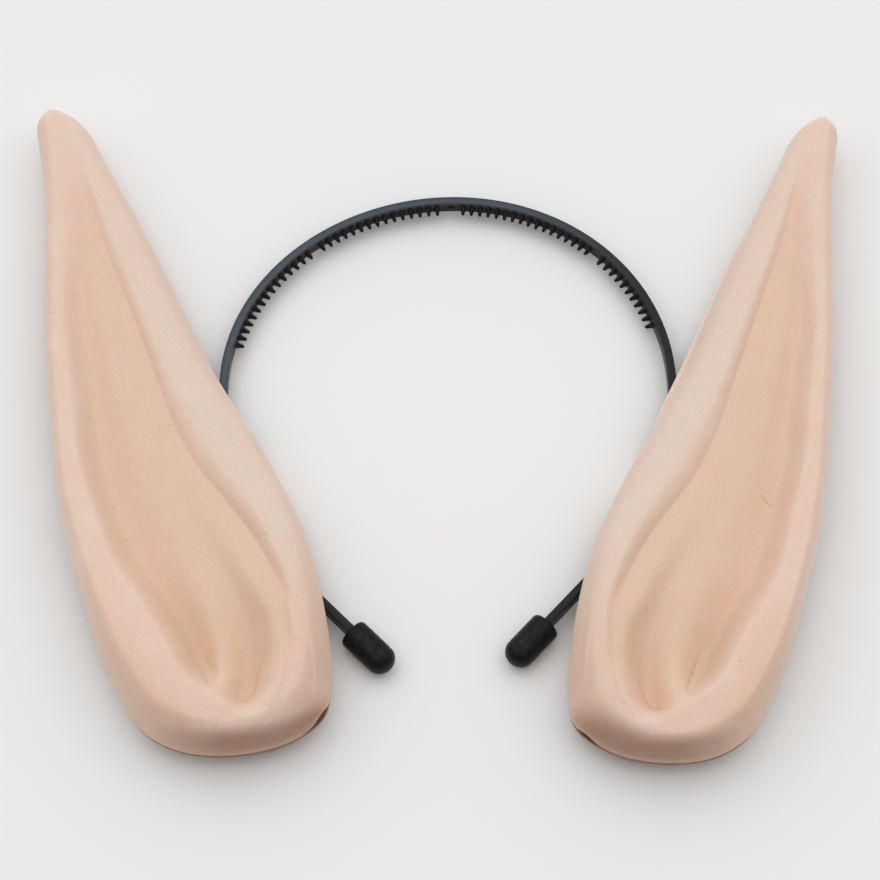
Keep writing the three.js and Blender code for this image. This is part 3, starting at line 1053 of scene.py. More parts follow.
class EarForm:
    """Shape of an ear front, as ribs from the outer edge to the inner edge, from the lobe to the tip."""

    # Distance along the ear, then outer and inner edge to the sides of its axis.
    OUTLINE = np.array([
        [-1.4, 11, 11],
        [3, -9.9, 25.2],
        [12, -20.3, 30],
        [28, -25, 33.2],
        [54, -27, 34.4],
        [79, -26.6, 30.2],
        [105, -22.9, 23.6],
        [130, -18.4, 19.5],
        [155, -12.3, 15.4],
        [177, -7.4, 10.9],
        [189, -5.9, 8.3],
        [194.5, -4.9, 4.8],
        [197.5, -0.6, -0.6],
    ])
    # Distance along, then the share of a rib at each fold: outer rim, outer valley, middle swell, bowl,
    # bowl wall, crease, lip.
    FOLD_PLACES = np.array([
        [0, 0.25, 0.36, 0.42, 0.5, 0.62, 0.74, 0.84],
        [5, 0.3, 0.375, 0.41, 0.49, 0.635, 0.755, 0.84],
        [8, 0.32, 0.38, 0.405, 0.505, 0.665, 0.77, 0.84],
        [10.5, 0.33, 0.388, 0.41, 0.528, 0.695, 0.785, 0.845],
        [13, 0.325, 0.4, 0.425, 0.552, 0.712, 0.795, 0.85],
        [15.5, 0.315, 0.41, 0.443, 0.575, 0.724, 0.803, 0.855],
        [18, 0.295, 0.415, 0.46, 0.593, 0.733, 0.808, 0.86],
        [22, 0.272, 0.415, 0.484, 0.617, 0.747, 0.815, 0.866],
        [30, 0.258, 0.405, 0.515, 0.64, 0.76, 0.828, 0.87],
        [42, 0.212, 0.37, 0.51, 0.61, 0.715, 0.808, 0.857],
        [55, 0.155, 0.3, 0.47, 0.57, 0.67, 0.768, 0.832],
        [67, 0.138, 0.272, 0.44, 0.535, 0.635, 0.715, 0.8],
        [79, 0.128, 0.258, 0.42, 0.51, 0.595, 0.662, 0.765],
        [92, 0.12, 0.26, 0.42, 0.51, 0.585, 0.645, 0.742],
        [105, 0.135, 0.288, 0.42, 0.51, 0.59, 0.655, 0.732],
        [130, 0.14, 0.3, 0.43, 0.5, 0.57, 0.632, 0.712],
        [155, 0.2, 0.38, 0.45, 0.485, 0.52, 0.57, 0.655],
        [177, 0.28, 0.45, 0.48, 0.505, 0.53, 0.575, 0.64],
        [196, 0.28, 0.45, 0.48, 0.505, 0.53, 0.575, 0.64],
    ])
    # Distance along, heights of the same folds, then how far in the outer and the inner edge round over.
    FOLD_HEIGHTS = np.array([
        [0, 12.6, 12.7, 12.8, 12.9, 13.1, 13.3, 13.5, 4.5, 13],
        [5, 13.2, 13.2, 13.2, 13.1, 13.5, 13.6, 13.7, 7.5, 13],
        [8, 13.6, 13.5, 13.5, 11.2, 13.8, 13.8, 13.9, 9, 12],
        [10.5, 13.8, 13.5, 13.2, 7.9, 13.8, 13.9, 14, 9.4, 11],
        [13, 14, 12.9, 12.2, 7, 13.8, 13.9, 14, 9.2, 10],
        [15.5, 14.1, 11.4, 11, 6.9, 13.7, 13.9, 14, 8.8, 9],
        [18, 14.2, 9, 9.9, 6.8, 13.5, 13.7, 14, 8.4, 8],
        [22, 14.3, 6.8, 9.1, 6.7, 13, 13.5, 13.9, 7.6, 6.8],
        [30, 14.3, 5.8, 8.3, 6.8, 12.1, 12.9, 13.6, 6.4, 5.6],
        [42, 14, 5.5, 8, 7.5, 10.7, 10.8, 12.9, 5.3, 5],
        [55, 13.4, 5.5, 8.2, 8.4, 9.7, 9.6, 12.2, 4.5, 5],
        [67, 12.9, 5.6, 8.4, 8.8, 9.3, 9.2, 11.6, 3.9, 5.2],
        [79, 12.5, 5.7, 8.5, 8.9, 9.1, 9, 11.2, 3.6, 5.4],
        [92, 12, 5.9, 8.5, 8.9, 9, 8.9, 10.9, 3.4, 5.6],
        [105, 11.6, 6.3, 8.5, 8.8, 8.9, 8.8, 10.6, 3.4, 5.8],
        [130, 10.8, 7.1, 8.4, 8.5, 8.6, 8.55, 10, 3.4, 5.8],
        [155, 9.8, 8.1, 8.4, 8.5, 8.5, 8.5, 9.5, 3.6, 5.4],
        [177, 9.1, 8.9, 8.95, 9, 9, 9, 9.1, 4, 5],
        [196, 8, 8, 8, 8, 8, 8, 8, 4.2, 4.2],
    ])
    # Distance along, then how sharp the corner at the crease is: the slope that it starts with over the mean.
    CREASE_SHARPNESS = np.array([
        [0, 0.0],
        [33, 0.0],
        [46, 0.8],
        [70, 1.4],
        [120, 1.2],
        [150, 0.6],
        [175, 0.0],
    ])
    CREASE = 6
    FLANK_FALL = 0.86
    FRONT_ROLL, LEAST_ROLL = 3.6, 3.3  # how far in the lobe's front rounds over, and any edge at least
    WALL = 3.0
    LIFT_HEIGHT = 9.0  # how far up the side a lifted edge shows
    LIFT_HALF = (0.5, 0.6)  # share of the columns, so that only the inner half is lifted
    VALLEY_LOBE, VALLEY_TIP = (8, 24), (75, 45)  # along the ear, where an ear's own valley shift acts
    EDGE_SAMPLES = 480
    RIBS = (34, 34, 44, 52, 40, 32, 28, 26, 24, 20, 12, 16)  # between one row of the outline and the next
    COLUMNS = (36, 16, 22, 22, 18, 14, 16, 40)  # between one fold and the next
    CAVITY_COLUMNS = (8, 4, 4, 4, 3, 3, 3, 8)
    # Tints: their strength, and the spans over which they come in. Spans are in millimetres, and those with
    # rows in their name in rows of the outline, unless a comment says otherwise. The hollow tint's depth and
    # the wall, side, lobe, deep and underside tints are painted shade.
    FULL_DEPTH = 9.5  # below rim and lip, where a hollow's painted shade is full
    PANEL_TINT, WALL_TINT, SIDE_TINT, LOBE_TINT, DEEP_TINT = 0.55, 0.2, 0.65, 0.05, 0.36
    PANEL_EDGE = (0.3, 1)  # share of the way from a ridge to the fold beside it
    PANEL_LOBE, PANEL_TIP = (8, 22), (180, 158)  # along the ear
    STEEP = (0.3, 1.7)  # slope
    CLEAN_EDGE = (0, 3)  # in from the edge
    LOBE_AXIS, LOBE_SIDE = 5, (9, 17)  # the lobe's sides lie this far off its own axis
    SIDE_ROWS, SIDE_EDGE = (4.5, 2.8), (14, 2)
    UNDER_REACH, UNDER_EDGE = 4.0, 0.8  # the underside's painted shade goes from nothing to full in from the edge
    UNDER_CORNER, UNDER_SIDE = (4, 20), (-24, 0)  # across the lobe
    UNDER_ROWS, LOBE_ROWS = (2.3, 1.3), (4.0, 2.0)
    INNER_SIDE, INNER_DROP = (0, 20), 0.5  # rows that the underside's painted shade ends lower on the inner side
    FOOT_PALE, FOOT = 0.35, (4.0, 0.5)  # the underside's painted shade is lighter again near its foot, painted light off the floor
    DEEP_FROM = (0.45, 0.95)  # strength of the hollow tint
    DEEP_EDGE, DEEP_LOBE = (5, 9), (60, 30)
    FLANK_START, FLANK_END = (-0.35, 0.35), (0.4, 1)  # share of the way from the lip to the inner edge
    FLANK_EDGE_LOSS, FLANK_TIP_LOSS, FLANK_TIP = 0.5, 0.45, (110, 160)
    FLANK_LOBE, FLANK_LOBE_EDGE = (46, 16), (0.3, 0.8)

    def __init__(self, fit: EarFit) -> None:
        """Sets out the edge of one ear.

        Args:
            fit: How this ear differs from the common form.
        """
        along, outer, inner = self.OUTLINE.T
        reach = fit.inner_lobe_reach + (fit.inner_tip_reach - fit.inner_lobe_reach) * along / along[-1]
        tip_more = (fit.outer_tip_reach - fit.outer_reach) * (along / along[-1]) ** 6
        outer_edge = np.stack([outer * (fit.outer_reach + tip_more), along * fit.length_reach], axis=1)
        inner_edge = np.stack([inner * reach, along * fit.length_reach], axis=1)[1:-1]
        self.fit = fit
        self.loop = np.vstack([outer_edge, inner_edge[::-1]])
        self.last_row = len(along) - 1
        self.samples = loop_points(self.loop, np.linspace(0, len(self.loop), self.EDGE_SAMPLES + 1))[0]

    def edge(self, rows: Array, is_inner: bool, inset: float | Array) -> Array:
        """Points on the edge, moved inwards.

        Args:
            rows: Rows of the outline, with fractions.
            is_inner: Takes the inner edge, the one towards the head.
            inset: How far inwards.

        Returns:
            Points in the ear's plan.
        """
        points, heading = loop_points(self.loop, len(self.loop) - rows if is_inner else rows)
        inward = np.stack([heading[:, 1], -heading[:, 0]], axis=1)
        return points + inward * np.broadcast_to(inset, rows.shape)[:, None]

    def rib_rows(self, counts: tuple[int, ...]) -> Array:
        """Rows at which ribs stand, closer together near the lobe's edge and the tip."""
        steps = [k + np.linspace(0, 1, count, endpoint=False) for k, count in enumerate(counts)]
        steps[0] = np.linspace(0, 1, counts[0], endpoint=False) ** 2
        steps[-1] = self.last_row - np.linspace(1, 0, counts[-1], endpoint=False) ** 2
        return np.concatenate([*steps, [self.last_row]])

    def shares(self, places: Array, counts: tuple[int, ...]) -> Array:
        """Shares of each rib at which it has points: on every fold, and closer together at the edges."""
        parts = []
        for k, count in enumerate(counts):
            t = np.arange(count) / count
            if k == 0:
                t = 1 - np.cos(t * np.pi / 2)
            if k == len(counts) - 1:
                t = np.sin(t * np.pi / 2)
            parts.append(places[:, k : k + 1] + (places[:, k + 1 : k + 2] - places[:, k : k + 1]) * t)
        return np.hstack([*parts, places[:, -1:]])

    def edge_distance(self, spots: Array) -> Array:
        """Distance from a grid of spots to the edge, worked out rib by rib."""
        return np.stack([distance_to_path(rib, self.samples)[0] for rib in spots])

    def ribs(self, wall: float, column_counts: tuple[int, ...]) -> RibGrid:
        """Grid of the surface that lies a wall's thickness inside the outer one.

        Formula: the folds' height across a rib, less the wall, times a quarter round of the distance to
        the edge over the distance in which the edge rounds over. That is the lobe front's in the middle of
        a rib. It eases to the outer edge's own with the fourth power of the share that is left to the
        inner edge, and to the inner edge's own with the share to the power 2.5.

        Args:
            wall: Thickness taken off.
            column_counts: Points between the folds.

        Returns:
            The grid.
        """
        rows = self.rib_rows(self.RIBS)
        outer, inner = self.edge(rows, False, wall), self.edge(rows, True, wall)
        along = (outer[:, 1] + inner[:, 1]) / 2 / self.fit.length_reach
        ends = np.zeros((len(rows), 1)), np.ones((len(rows), 1))
        places = np.hstack([ends[0], cubic_rows(self.FOLD_PLACES, along), ends[1]])
        bend = smooth_step(*self.VALLEY_LOBE, along) * smooth_step(*self.VALLEY_TIP, along)
        places[:, 1:3] += self.fit.valley_shift * bend[:, None]
        table = cubic_rows(self.FOLD_HEIGHTS, along)
        folds, rolls = table[:, :-2], table[:, -2:]
        heights = np.hstack([folds[:, :1], folds, folds[:, -1:] * self.FLANK_FALL])
        shares = self.shares(places, column_counts)
        width = np.linalg.norm(inner - outer, axis=1, keepdims=True)
        outside = (wall + shares * width) / np.maximum(2 * wall + width, 1e-9)
        sharpness = cubic_rows(self.CREASE_SHARPNESS, along)[:, 0]
        height = fold_curve(places, heights, outside, self.CREASE, sharpness)
        spots = outer[:, None] + (inner - outer)[:, None] * shares[:, :, None]
        distance = np.maximum(self.edge_distance(spots) - wall, 0)
        distance[:, [0, -1]] = 0
        distance[[0, -1]] = 0
        rolls[:, 0] = np.maximum(rolls[:, 0] * self.fit.outer_roll, self.LEAST_ROLL)
        more = rolls - self.FRONT_ROLL
        roll = self.FRONT_ROLL + more[:, :1] * (1 - shares) ** 4 + more[:, 1:] * shares**2.5 - wall
        z = (height - wall) * quarter_round(distance / roll)
        return RibGrid(
            points=np.dstack([spots, z]),
            rows=rows[:, None],
            along=along[:, None],
            width=width,
            shares=shares,
            places=places,
            folds=folds,
            height=height,
            distance=distance,
        )

    def tints(self, grid: RibGrid) -> dict[str, Array]:
        """How strong the tints of the foam are, before lines are pressed into it.

        Formula: the hollow tint, painted shade, grows with the depth below a straight line from rim to lip,
        has a least value on the panel between the folds, and is stronger on steep walls and on the lobe's
        sides. The deep tint is painted shade where that is strongest near the lobe, the underside tint
        painted shade round the lobe's underside, lighter near its foot as painted light off the floor, and
        the flank tint lies from the lip to the inner edge. Each comes in and goes out by smooth steps.

        Args:
            grid: Grid of the outer surface.

        Returns:
            Strength at each point, by the tint's name.
        """
        rows, along, shares, places, distance = grid.rows, grid.along, grid.shares, grid.places, grid.distance
        side, z = grid.points[..., 0], grid.points[..., 2]
        rim, lip = grid.folds[:, :1], grid.folds[:, -1:]
        rim_place, valley_place, crease_place, lip_place = (places[:, k : k + 1] for k in (1, 2, 6, 7))
        across = np.clip((shares - rim_place) / (lip_place - rim_place), 0, 1)
        # Painted shade that grows with the depth below the line from rim to lip.
        hollow = np.clip((rim + (lip - rim) * across - grid.height) / self.FULL_DEPTH, 0, 1)
        panel = smooth_step(*self.PANEL_EDGE, (shares - rim_place) / (valley_place - rim_place))
        panel *= smooth_step(*self.PANEL_EDGE, (lip_place - shares) / (lip_place - crease_place))
        panel *= smooth_step(*self.PANEL_LOBE, along) * smooth_step(*self.PANEL_TIP, along)
        # More painted shade on steep walls, and on the lobe's sides below.
        slope = np.gradient(grid.height, axis=1) / np.maximum(np.gradient(shares, axis=1) * grid.width, 1e-6)
        fall = np.gradient(grid.height, axis=0) / np.maximum(np.gradient(along, axis=0), 1e-6)
        steep = smooth_step(*self.STEEP, np.hypot(slope, fall)) * (shares <= lip_place)
        hollow = np.clip(np.maximum(hollow, self.PANEL_TINT * panel) + self.WALL_TINT * steep, 0, 1)
        hollow *= smooth_step(*self.CLEAN_EDGE, distance)
        sides = smooth_step(*self.LOBE_SIDE, np.abs(side - self.LOBE_AXIS))
        sides = sides * smooth_step(*self.SIDE_ROWS, rows)
        hollow = np.maximum(hollow, self.SIDE_TINT * smooth_step(*self.SIDE_EDGE, distance) * sides)
        # Painted shade round the lobe's underside.
        reach = self.fit.shade_reach - self.UNDER_REACH
        reach = self.UNDER_REACH + reach * smooth_step(*self.UNDER_CORNER, side)
        lower = rows + self.INNER_DROP * smooth_step(*self.INNER_SIDE, side)
        under = smooth_step(reach, self.UNDER_EDGE, distance) * smooth_step(*self.UNDER_ROWS, lower)
        under *= smooth_step(*self.UNDER_SIDE, side)
        under = np.maximum(under, self.LOBE_TINT * smooth_step(*self.LOBE_ROWS, rows))
        under *= 1 - self.FOOT_PALE * smooth_step(*self.FOOT, z)
        # Painted shade, olive, in the deepest hollows near the lobe.
        deep = self.DEEP_TINT * smooth_step(*self.DEEP_FROM, hollow) * smooth_step(*self.DEEP_EDGE, distance)
        deep *= smooth_step(*self.DEEP_LOBE, along)
        past_lip = (shares - lip_place) / (1 - lip_place)
        flank = smooth_step(*self.FLANK_START, past_lip)
        flank *= 1 - self.FLANK_EDGE_LOSS * smooth_step(*self.FLANK_END, past_lip)
        flank *= 1 - self.FLANK_TIP_LOSS * smooth_step(*self.FLANK_TIP, along)
        flank *= 1 - smooth_step(*self.FLANK_LOBE, along) * smooth_step(*self.FLANK_LOBE_EDGE, past_lip)
        return {"hollow": hollow, "deep": deep, "under": under, "flank": flank}

    def lift(self, grid: RibGrid) -> None:
        """Raises the inner edge where the front stands off its back sheet.

        Formula: a bell curve along the edge, fading over the first millimetres up the side.

        Args:
            grid: Grid of a surface, changed in place.
        """
        share = np.linspace(0, 1, grid.points.shape[1])
        z = grid.points[..., 2]
        for gap in self.fit.gaps:
            amount = gap.lift * bell(grid.rows - gap.row, gap.reach) * smooth_step(*self.LIFT_HALF, share)
            z += amount * np.clip(1 - z / self.LIFT_HEIGHT, 0, 1) ** 2


@dataclass
class Ear:
    """An ear: a hollow moulded front, and a flat back sheet with the strap that the band runs through."""

    fit: EarFit
    sheet: float = 1.5
    gap: float = 0.3
    strap_length: float = 16.0
    strap_outer_foot: float = 9.0
    strap_inner_foot: float = 6.4
    strap_crown: float = 3.4
    strap_turn: float = 22.0
    tip_radius: float = RubberTip.radius
    nub_size: float = 1.0
    nub_reach: float = 0.045  # in rows of the outline, as the next three
    flange_start: tuple[float, float] = (5.2, 6.0)
    flange_end: tuple[float, float] = (8.5, 7.4)
    sheet_under: tuple[float, float] = (2.6, 1.6)  # where painted shade darkens the sheet below the lobe
    slit_dirt: float = 1.3  # reach of the painted shade in a slit, over the slit's own
    # painted shade on the foot, the seam's dark line
    foot_grime: float = 0.6
    SHEET_RIBS: ClassVar[tuple[int, ...]] = (20, 16, 16, 16, 14, 12, 12, 12, 12, 10, 8, 10)

    def placed(self, points: Array, band: HairBand, height: float) -> Array:
        """Points of the ear's own plan, moved to its place on the band.

        Args:
            points: Points with z over the front of the back sheet.
            band: The band.
            height: Added height.

        Returns:
            Points in the common plan.
        """
        out = points.copy()
        out[..., 0] *= self.fit.hand
        out = turned(out, self.fit.lean)
        out[..., :2] += np.array(self.fit.lobe)
        out[..., 2] += band.depth + self.gap + self.sheet + height
        return out

    def build_front(self, band: HairBand, origin: Array) -> bpy.types.Object:
        """Builds and dresses the moulded front, with its cavity.

        Args:
            band: The band.
            origin: Where the plan's origin lies in the frame.

        Returns:
            The piece.
        """
        form = EarForm(self.fit)
        outside, inside = form.ribs(0.0, form.COLUMNS), form.ribs(form.WALL, form.CAVITY_COLUMNS)
        tints = form.tints(outside)
        spots = outside.points[..., :2].reshape(-1, 2)
        shape = outside.distance.shape
        gaps, dirts = np.full(len(spots), Line.REACH), np.zeros(len(spots))
        for line in self.fit.lines:
            depth, gap, dirt = line.press(spots)
            outside.points[..., 2] -= depth.reshape(shape) * smooth_step(*Line.EDGE, outside.distance)
            gaps, dirts = np.where(dirt > 0, gap, gaps), np.where(dirt > 0, dirt, dirts)
        form.lift(outside)
        form.lift(inside)
        mirrored = self.fit.hand < 0
        lines = {"line_gap": gaps.reshape(shape), "line_dirt": dirts.reshape(shape)}
        front = self.placed(outside.points, band, self.gap)
        cavity = self.placed(inside.points, band, self.gap)
        parts = [
            Surface.from_grid(front, flip=mirrored, **tints, **lines),
            # The cavity is painted dark all over, the shade inside the hollow front.
            Surface.from_grid(cavity, flip=not mirrored, grime=np.ones((1, 1))),
            *self.foot(front, cavity),
        ]
        label = self.fit.side.label
        piece = Surface.joined(parts).to_object(f"{label}_ear_moulding", origin)
        return dress(piece, FOAM_SKIN, f"{label}_ear_front")

    def foot(self, front: Array, cavity: Array) -> list[Surface]:
        """Flat foot of the front, between its outer and its inner surface.

        Formula: straight strips from each edge point to the point of the cavity's edge beside it.

        Args:
            front: Points of the outer surface.
            cavity: Points of the cavity, with the same ribs.

        Returns:
            Strips for the outer and the inner edge.
        """
        strips = (
            np.stack([front[:, 0], cavity[:, 0]], axis=1),
            np.stack([cavity[:, -1], front[:, -1]], axis=1),
        )
        # The foot is painted as shade, the seam's dark line.
        grime = np.full((1, 1), self.foot_grime)
        return [Surface.from_grid(strip, flip=self.fit.hand > 0, grime=grime) for strip in strips]

    def back_sheet(self, form: EarForm, band: HairBand) -> Surface:
        """Flat back sheet with rounded edges.

        Formula: each rib is a thin flat bar with half-round ends, as long as the outline is wide there and
        let out along the middle of the inner edge.

        Args:
            form: The ear's form.
            band: The band.

        Returns:
            The surface.
        """
        rows = form.rib_rows(self.SHEET_RIBS)
        flanged = smooth_step(*self.flange_start, rows) * smooth_step(*self.flange_end, rows)
        let_out = self.fit.flange * flanged
        if self.fit.nub_row is not None:
            let_out = let_out + self.nub_size * bell(rows - self.fit.nub_row, self.nub_reach)
        outer, inner = form.edge(rows, False, 0.0), form.edge(rows, True, -let_out)
        radius = self.sheet / 2
        turn = np.linspace(0, np.pi, 9)
        middle = np.linspace(0, 1, 25)[1:-1]
        flat = np.full(len(middle), radius)
        run = inner - outer
        width = np.linalg.norm(run, axis=1, keepdims=True)
        unit = run / np.maximum(width, 1e-9)
        end = np.minimum(radius, width / 2)
        near, top = end * (1 - np.sin(turn)), end + (width - 2 * end) * middle
        reach = np.hstack([near, top, width - near, top[:, ::-1], near[:, :1]])
        round_up = -radius * np.cos(turn)
        up = np.concatenate([round_up, flat, -round_up, -flat, round_up[:1]])
        grid = np.empty((*reach.shape, 3))
        grid[:, :, :2] = outer[:, None] + unit[:, None] * reach[:, :, None]
        grid[:, :, 2] = up - radius
        grid[[0, -1], :, 2] = -radius
        # Painted shade on the sheet's face inside each slit.
        grime = np.zeros(reach.shape)
        for slit in self.fit.gaps:
            grime += bell(rows - slit.row, slit.reach * self.slit_dirt)[:, None] * (up > radius * 0.9)
        # Painted shade on the sheet below the lobe.
        under = smooth_step(*self.sheet_under, rows)[:, None]
        placed = self.placed(grid, band, 0.0)
        return Surface.from_grid(placed, flip=self.fit.hand < 0, grime=grime, under=under)

    def strap(self, band: HairBand) -> Surface:
        """Strip of the back sheet that bows out behind the band.

        Formula: a bar with rounded edges carried along a line that leaves the sheet, eases down to the
        floor, runs flat behind the band and eases up again.

        Args:
            band: The band.

        Returns:
            The surface.
        """
        radius = self.sheet / 2
        floor = band.depth / 2 - self.tip_radius
        sheet_back = band.depth + self.gap
        top, low = sheet_back + radius * 0.9, floor + radius
        reach = np.concatenate([
            np.linspace(-self.strap_outer_foot + radius, -self.strap_crown, 14),
            np.linspace(-self.strap_crown, self.strap_crown, 10)[1:-1],
            np.linspace(self.strap_crown, self.strap_inner_foot - radius, 14),
        ])
        outer = smooth_step(-self.strap_crown, -self.strap_outer_foot + radius, reach)
        inner = smooth_step(self.strap_crown, self.strap_inner_foot - radius, reach)
        height = low + (top - low) * np.maximum(outer, inner)
        slope = np.gradient(height, reach)
        normal = np.stack([-slope, np.ones(len(slope))], axis=1)
        normal /= np.linalg.norm(normal, axis=1, keepdims=True)
        turn = np.linspace(0, np.pi, 7)
        half = self.strap_length / 2
        along = np.concatenate([half - radius * (1 - np.sin(turn)), -half + radius * (1 - np.sin(turn))])
        along = np.append(along, along[0])
        off = np.concatenate([radius * np.cos(turn), -radius * np.cos(turn)])
        off = np.append(off, off[0])
        end = band.ends[0 if self.fit.side is Side.LEFT else 1]
        spot, outward, heading = (
            a[0] for a in band.end_spots(end, np.array([self.strap_turn]), np.array([0.0]))
        )
        across = reach[:, None] + normal[:, :1] * off
        grid = np.empty((len(reach), len(along), 3))
        grid[:, :, :2] = spot - outward * across[:, :, None] + heading * along[:, None]
        grid[:, :, 2] = height[:, None] + normal[:, 1:] * off
        caps = [row.mean(axis=1, keepdims=True).repeat(len(along), axis=1) for row in (grid[:1], grid[-1:])]
        grid = np.concatenate([caps[0], grid, caps[1]])
        return Surface.from_grid(grid, flip=self.fit.side is Side.RIGHT)

    def build_back(self, band: HairBand, origin: Array) -> bpy.types.Object:
        """Builds and dresses the back sheet with its strap.

        Args:
            band: The band.
            origin: Where the plan's origin lies in the frame.

        Returns:
            The piece.
        """
        form = EarForm(self.fit)
        label = self.fit.side.label
        surface = Surface.joined([self.back_sheet(form, band), self.strap(band)])
        piece = surface.to_object(f"{label}_ear_back_sheet", origin)
        return dress(piece, FOAM_SHEET, f"{label}_ear_back")


LEFT_FIT = EarFit(
    Side.LEFT,
    lobe=(-55.8, -106.9),
    lean=16.2,
    flange=0.3,
    lines=(
        Line(
            ((-1.8, 21.0), (-1.6, 18.1), (-2.0, 16.3), (-3.2, 15.6)),
            depth=0.3, left=0.5, right=0.4, grime=0.3,
        ),
        Line(
            ((14.6, 21.0), (11.4, 15.5), (9.0, 11.2), (5.4, 9.0)),
            depth=0.3, left=0.4, right=0.6, grime=0.25,
        ),
        Line(((24.5, 33.6), (23.8, 28.0), (23.1, 20.5)), depth=-0.5, left=1.0, right=0.8),
        Line(
            ((20.4, 26.6), (19.1, 19.5), (17.1, 12.6), (14.8, 8.2), (11.2, 5.5)),
            depth=-0.5, left=0.9, right=1.6,
        ),
        Line(((27.6, 22.0), (26.3, 12.6), (23.1, 3.5)), depth=-0.8, left=0.8, right=0.5),
        Line(((-4.7, 6.1), (-6.8, 4.6), (-8.2, 3.7)), depth=0.3, left=0.6, right=0.8, grime=0.12),
        Line(((-1.4, 6.2), (-2.5, 3.8), (-4.0, 3.2)), depth=0.3, left=0.6, right=0.8, grime=0.12),
        Line(((-17.2, 131.7), (-14.9, 131.9), (-12.8, 130.3)), depth=0.0, left=0.3, right=0.3, grime=0.2),
    ),
    gaps=(SeamGap(row=1.02, reach=0.3, lift=4.4),),
)

RIGHT_FIT = EarFit(
    Side.RIGHT,
    lobe=(56.6, -109.1),
    lean=-14.2,
    flange=1.7,
    outer_reach=0.92,
    outer_tip_reach=1.04,
    outer_roll=0.62,
    valley_shift=-0.045,
    inner_lobe_reach=0.985,
    inner_tip_reach=0.83,
    length_reach=0.99,
    lines=(
        Line(
            ((-1.6, 29.8), (-0.8, 22.1), (-0.6, 17.0), (-3.1, 14.5)),
            depth=0.3, left=0.4, right=0.5, grime=0.25,
        ),
        Line(
            ((12.8, 18.3), (10.0, 13.4), (6.4, 10.4), (3.4, 10.1)),
            depth=0.3, left=0.4, right=0.6, grime=0.25,
        ),
        Line(((24.1, 34.4), (23.2, 27.4), (21.0, 20.8)), depth=-0.5, left=1.0, right=0.8),
        Line(
            ((19.6, 25.6), (19.0, 19.6), (17.4, 13.8), (14.6, 9.2), (10.4, 6.6)),
            depth=-0.5, left=0.9, right=1.6,
        ),
        Line(((27.9, 28.8), (26.4, 16.3), (24.3, 7.7)), depth=-0.8, left=0.8, right=0.5),
        Line(((-7.1, 76.9), (-9.2, 75.5), (-11.3, 74.4)), depth=0.0, left=0.3, right=0.3, grime=0.5),
        Line(((-12.0, 131.1), (-11.1, 125.4), (-11.0, 120.8)), depth=0.1, left=0.5, right=0.5, grime=0.15),
    ),
    gaps=(SeamGap(row=0.78, reach=0.22, lift=2.7),),
    nub_row=3.9,
    shade_reach=8.0,
)


# Floor, light and camera


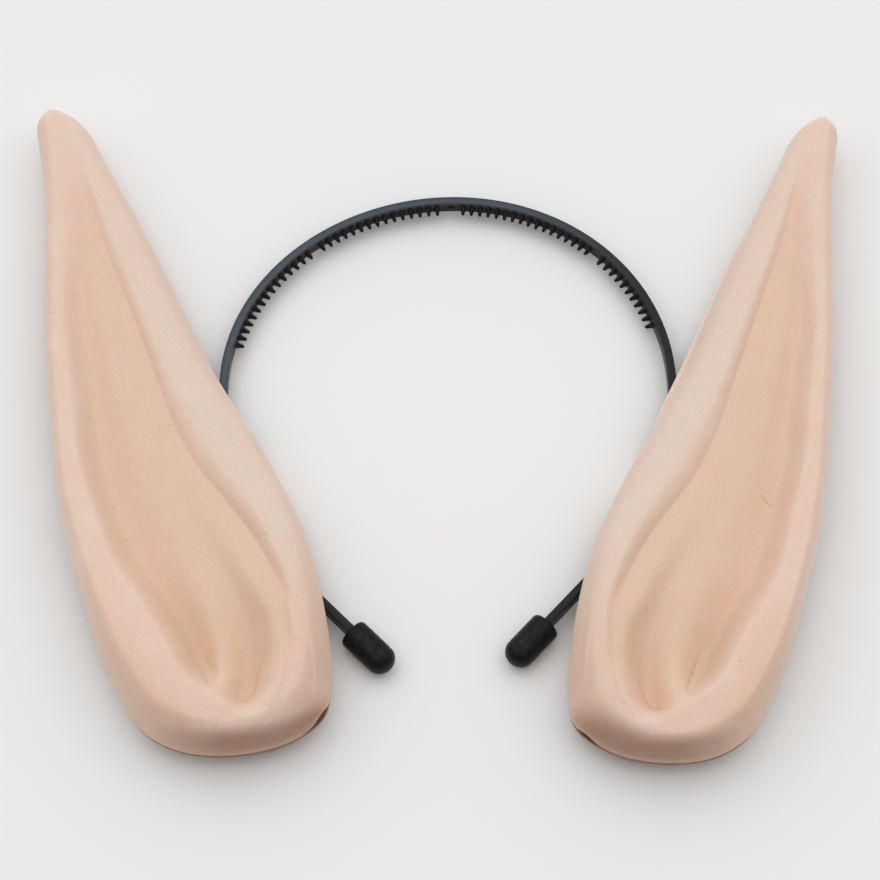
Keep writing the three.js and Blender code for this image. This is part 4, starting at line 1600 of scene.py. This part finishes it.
@dataclass(frozen=True)
class Studio:
    """Pale floor, soft light from above and the camera at the photograph's angle."""

    floor_colour: str = "#f3f3f2"
    tent: float = 1.43
    key_watts: float = 0.9
    tilt: float = 25.0  # degrees that the camera leans off the band's own normal
    distance: float = 945.0
    aim: tuple[float, float, float] = (-2.16, -15.31, 2.15)  # in the plan
    focal_share: float = 3500 / 880  # focal length over the width of the picture

    def build_floor(self) -> bpy.types.Object:
        """Builds the floor as a flat grid.

        Returns:
            The floor.
        """
        side = np.linspace(-4000, 4000, 3)
        grid = np.dstack([*np.meshgrid(side, side), np.zeros((3, 3))])
        floor = Surface.from_grid(grid).to_object("floor", np.zeros(3))
        made = bpy.data.materials.new("matt_paper")
        made.use_nodes = True
        shader = made.node_tree.nodes["Principled BSDF"]
        shader.inputs["Base Color"].default_value = linear(self.floor_colour)
        shader.inputs["Roughness"].default_value = 0.9
        floor.data.materials.append(made)
        return floor

    def add_light(
        self, name: str, place: tuple[float, float, float], size: float, watts: float, colour: str = "#ffffff"
    ) -> None:
        """Adds a square soft light that faces the object.

        Args:
            name: Name of the light.
            place: Where it stands, in metres.
            size: Length of its side, in metres.
            watts: Its power.
            colour: Its colour.
        """
        data = bpy.data.lights.new(name, "AREA")
        data.size = size
        data.energy = watts
        data.color = linear(colour)[:3]
        light = bpy.data.objects.new(name, data)
        x, y, z = place
        light.location = place
        light.rotation_euler = (math.atan2(math.hypot(x, y), z), 0, math.atan2(x, -y) if x or y else 0)
        bpy.context.scene.collection.objects.link(light)

    def build_light(self) -> None:
        """Lights the scene: a white tent, brightest overhead and dim on the camera's side, and a key."""
        world = bpy.data.worlds.new("studio")
        world.use_nodes = True
        tree = world.node_tree
        tree.nodes.clear()
        heading = add_node(tree, "ShaderNodeTexCoord").outputs["Generated"]
        axes = add_node(tree, "ShaderNodeSeparateXYZ", {0: heading})
        overhead, behind = (
            add_node(tree, "ShaderNodeMapRange", {0: axes.outputs[axis], **dict(enumerate(span, start=1))})
            for axis, span in (("Z", (0.1, 0.95, self.tent * 0.3, self.tent)), ("Y", (-0.8, 0.0, 0.25, 1.0)))
        )
        glow = add_node(
            tree, "ShaderNodeMath", {0: overhead.outputs[0], 1: behind.outputs[0]}, operation="MULTIPLY"
        )
        tent = add_node(
            tree, "ShaderNodeBackground", {"Color": linear("#ffffff"), "Strength": glow.outputs[0]}
        )
        add_node(tree, "ShaderNodeOutputWorld", {"Surface": tent.outputs[0]})
        bpy.context.scene.world = world
        self.add_light("key", (-0.5, 0.6, 1.25), size=1.0, watts=self.key_watts, colour="#dcebff")

    def build_camera(self, origin: Array) -> None:
        """Sets the camera up.

        Args:
            origin: Where the plan's origin lies in the frame.
        """
        data = bpy.data.cameras.new("camera")
        data.sensor_width = 36.0
        data.lens = 36.0 * self.focal_share
        tilt = math.radians(self.tilt)
        back = np.array([0, -math.sin(tilt), math.cos(tilt)])
        camera = bpy.data.objects.new("camera", data)
        camera.location = (origin + np.array(self.aim) + back * self.distance) * METRES
        camera.rotation_euler = (tilt, 0, 0)
        bpy.context.scene.collection.objects.link(camera)
        bpy.context.scene.camera = camera
        bpy.context.scene.view_settings.view_transform = "Standard"


def main() -> None:
    """Builds every piece in order, then the floor, the light and the camera."""
    logging.basicConfig(level=logging.INFO, format="%(name)s: %(message)s")
    band = HairBand()
    origin = band.plan_origin()
    band.build(origin)
    for end in band.ends:
        RubberTip(end).build(band, origin)
    for fit in (LEFT_FIT, RIGHT_FIT):
        ear = Ear(fit)
        ear.build_front(band, origin)
        ear.build_back(band, origin)
    studio = Studio()
    studio.build_floor()
    studio.build_light()
    studio.build_camera(origin)


if __name__ == "__main__":
    main()
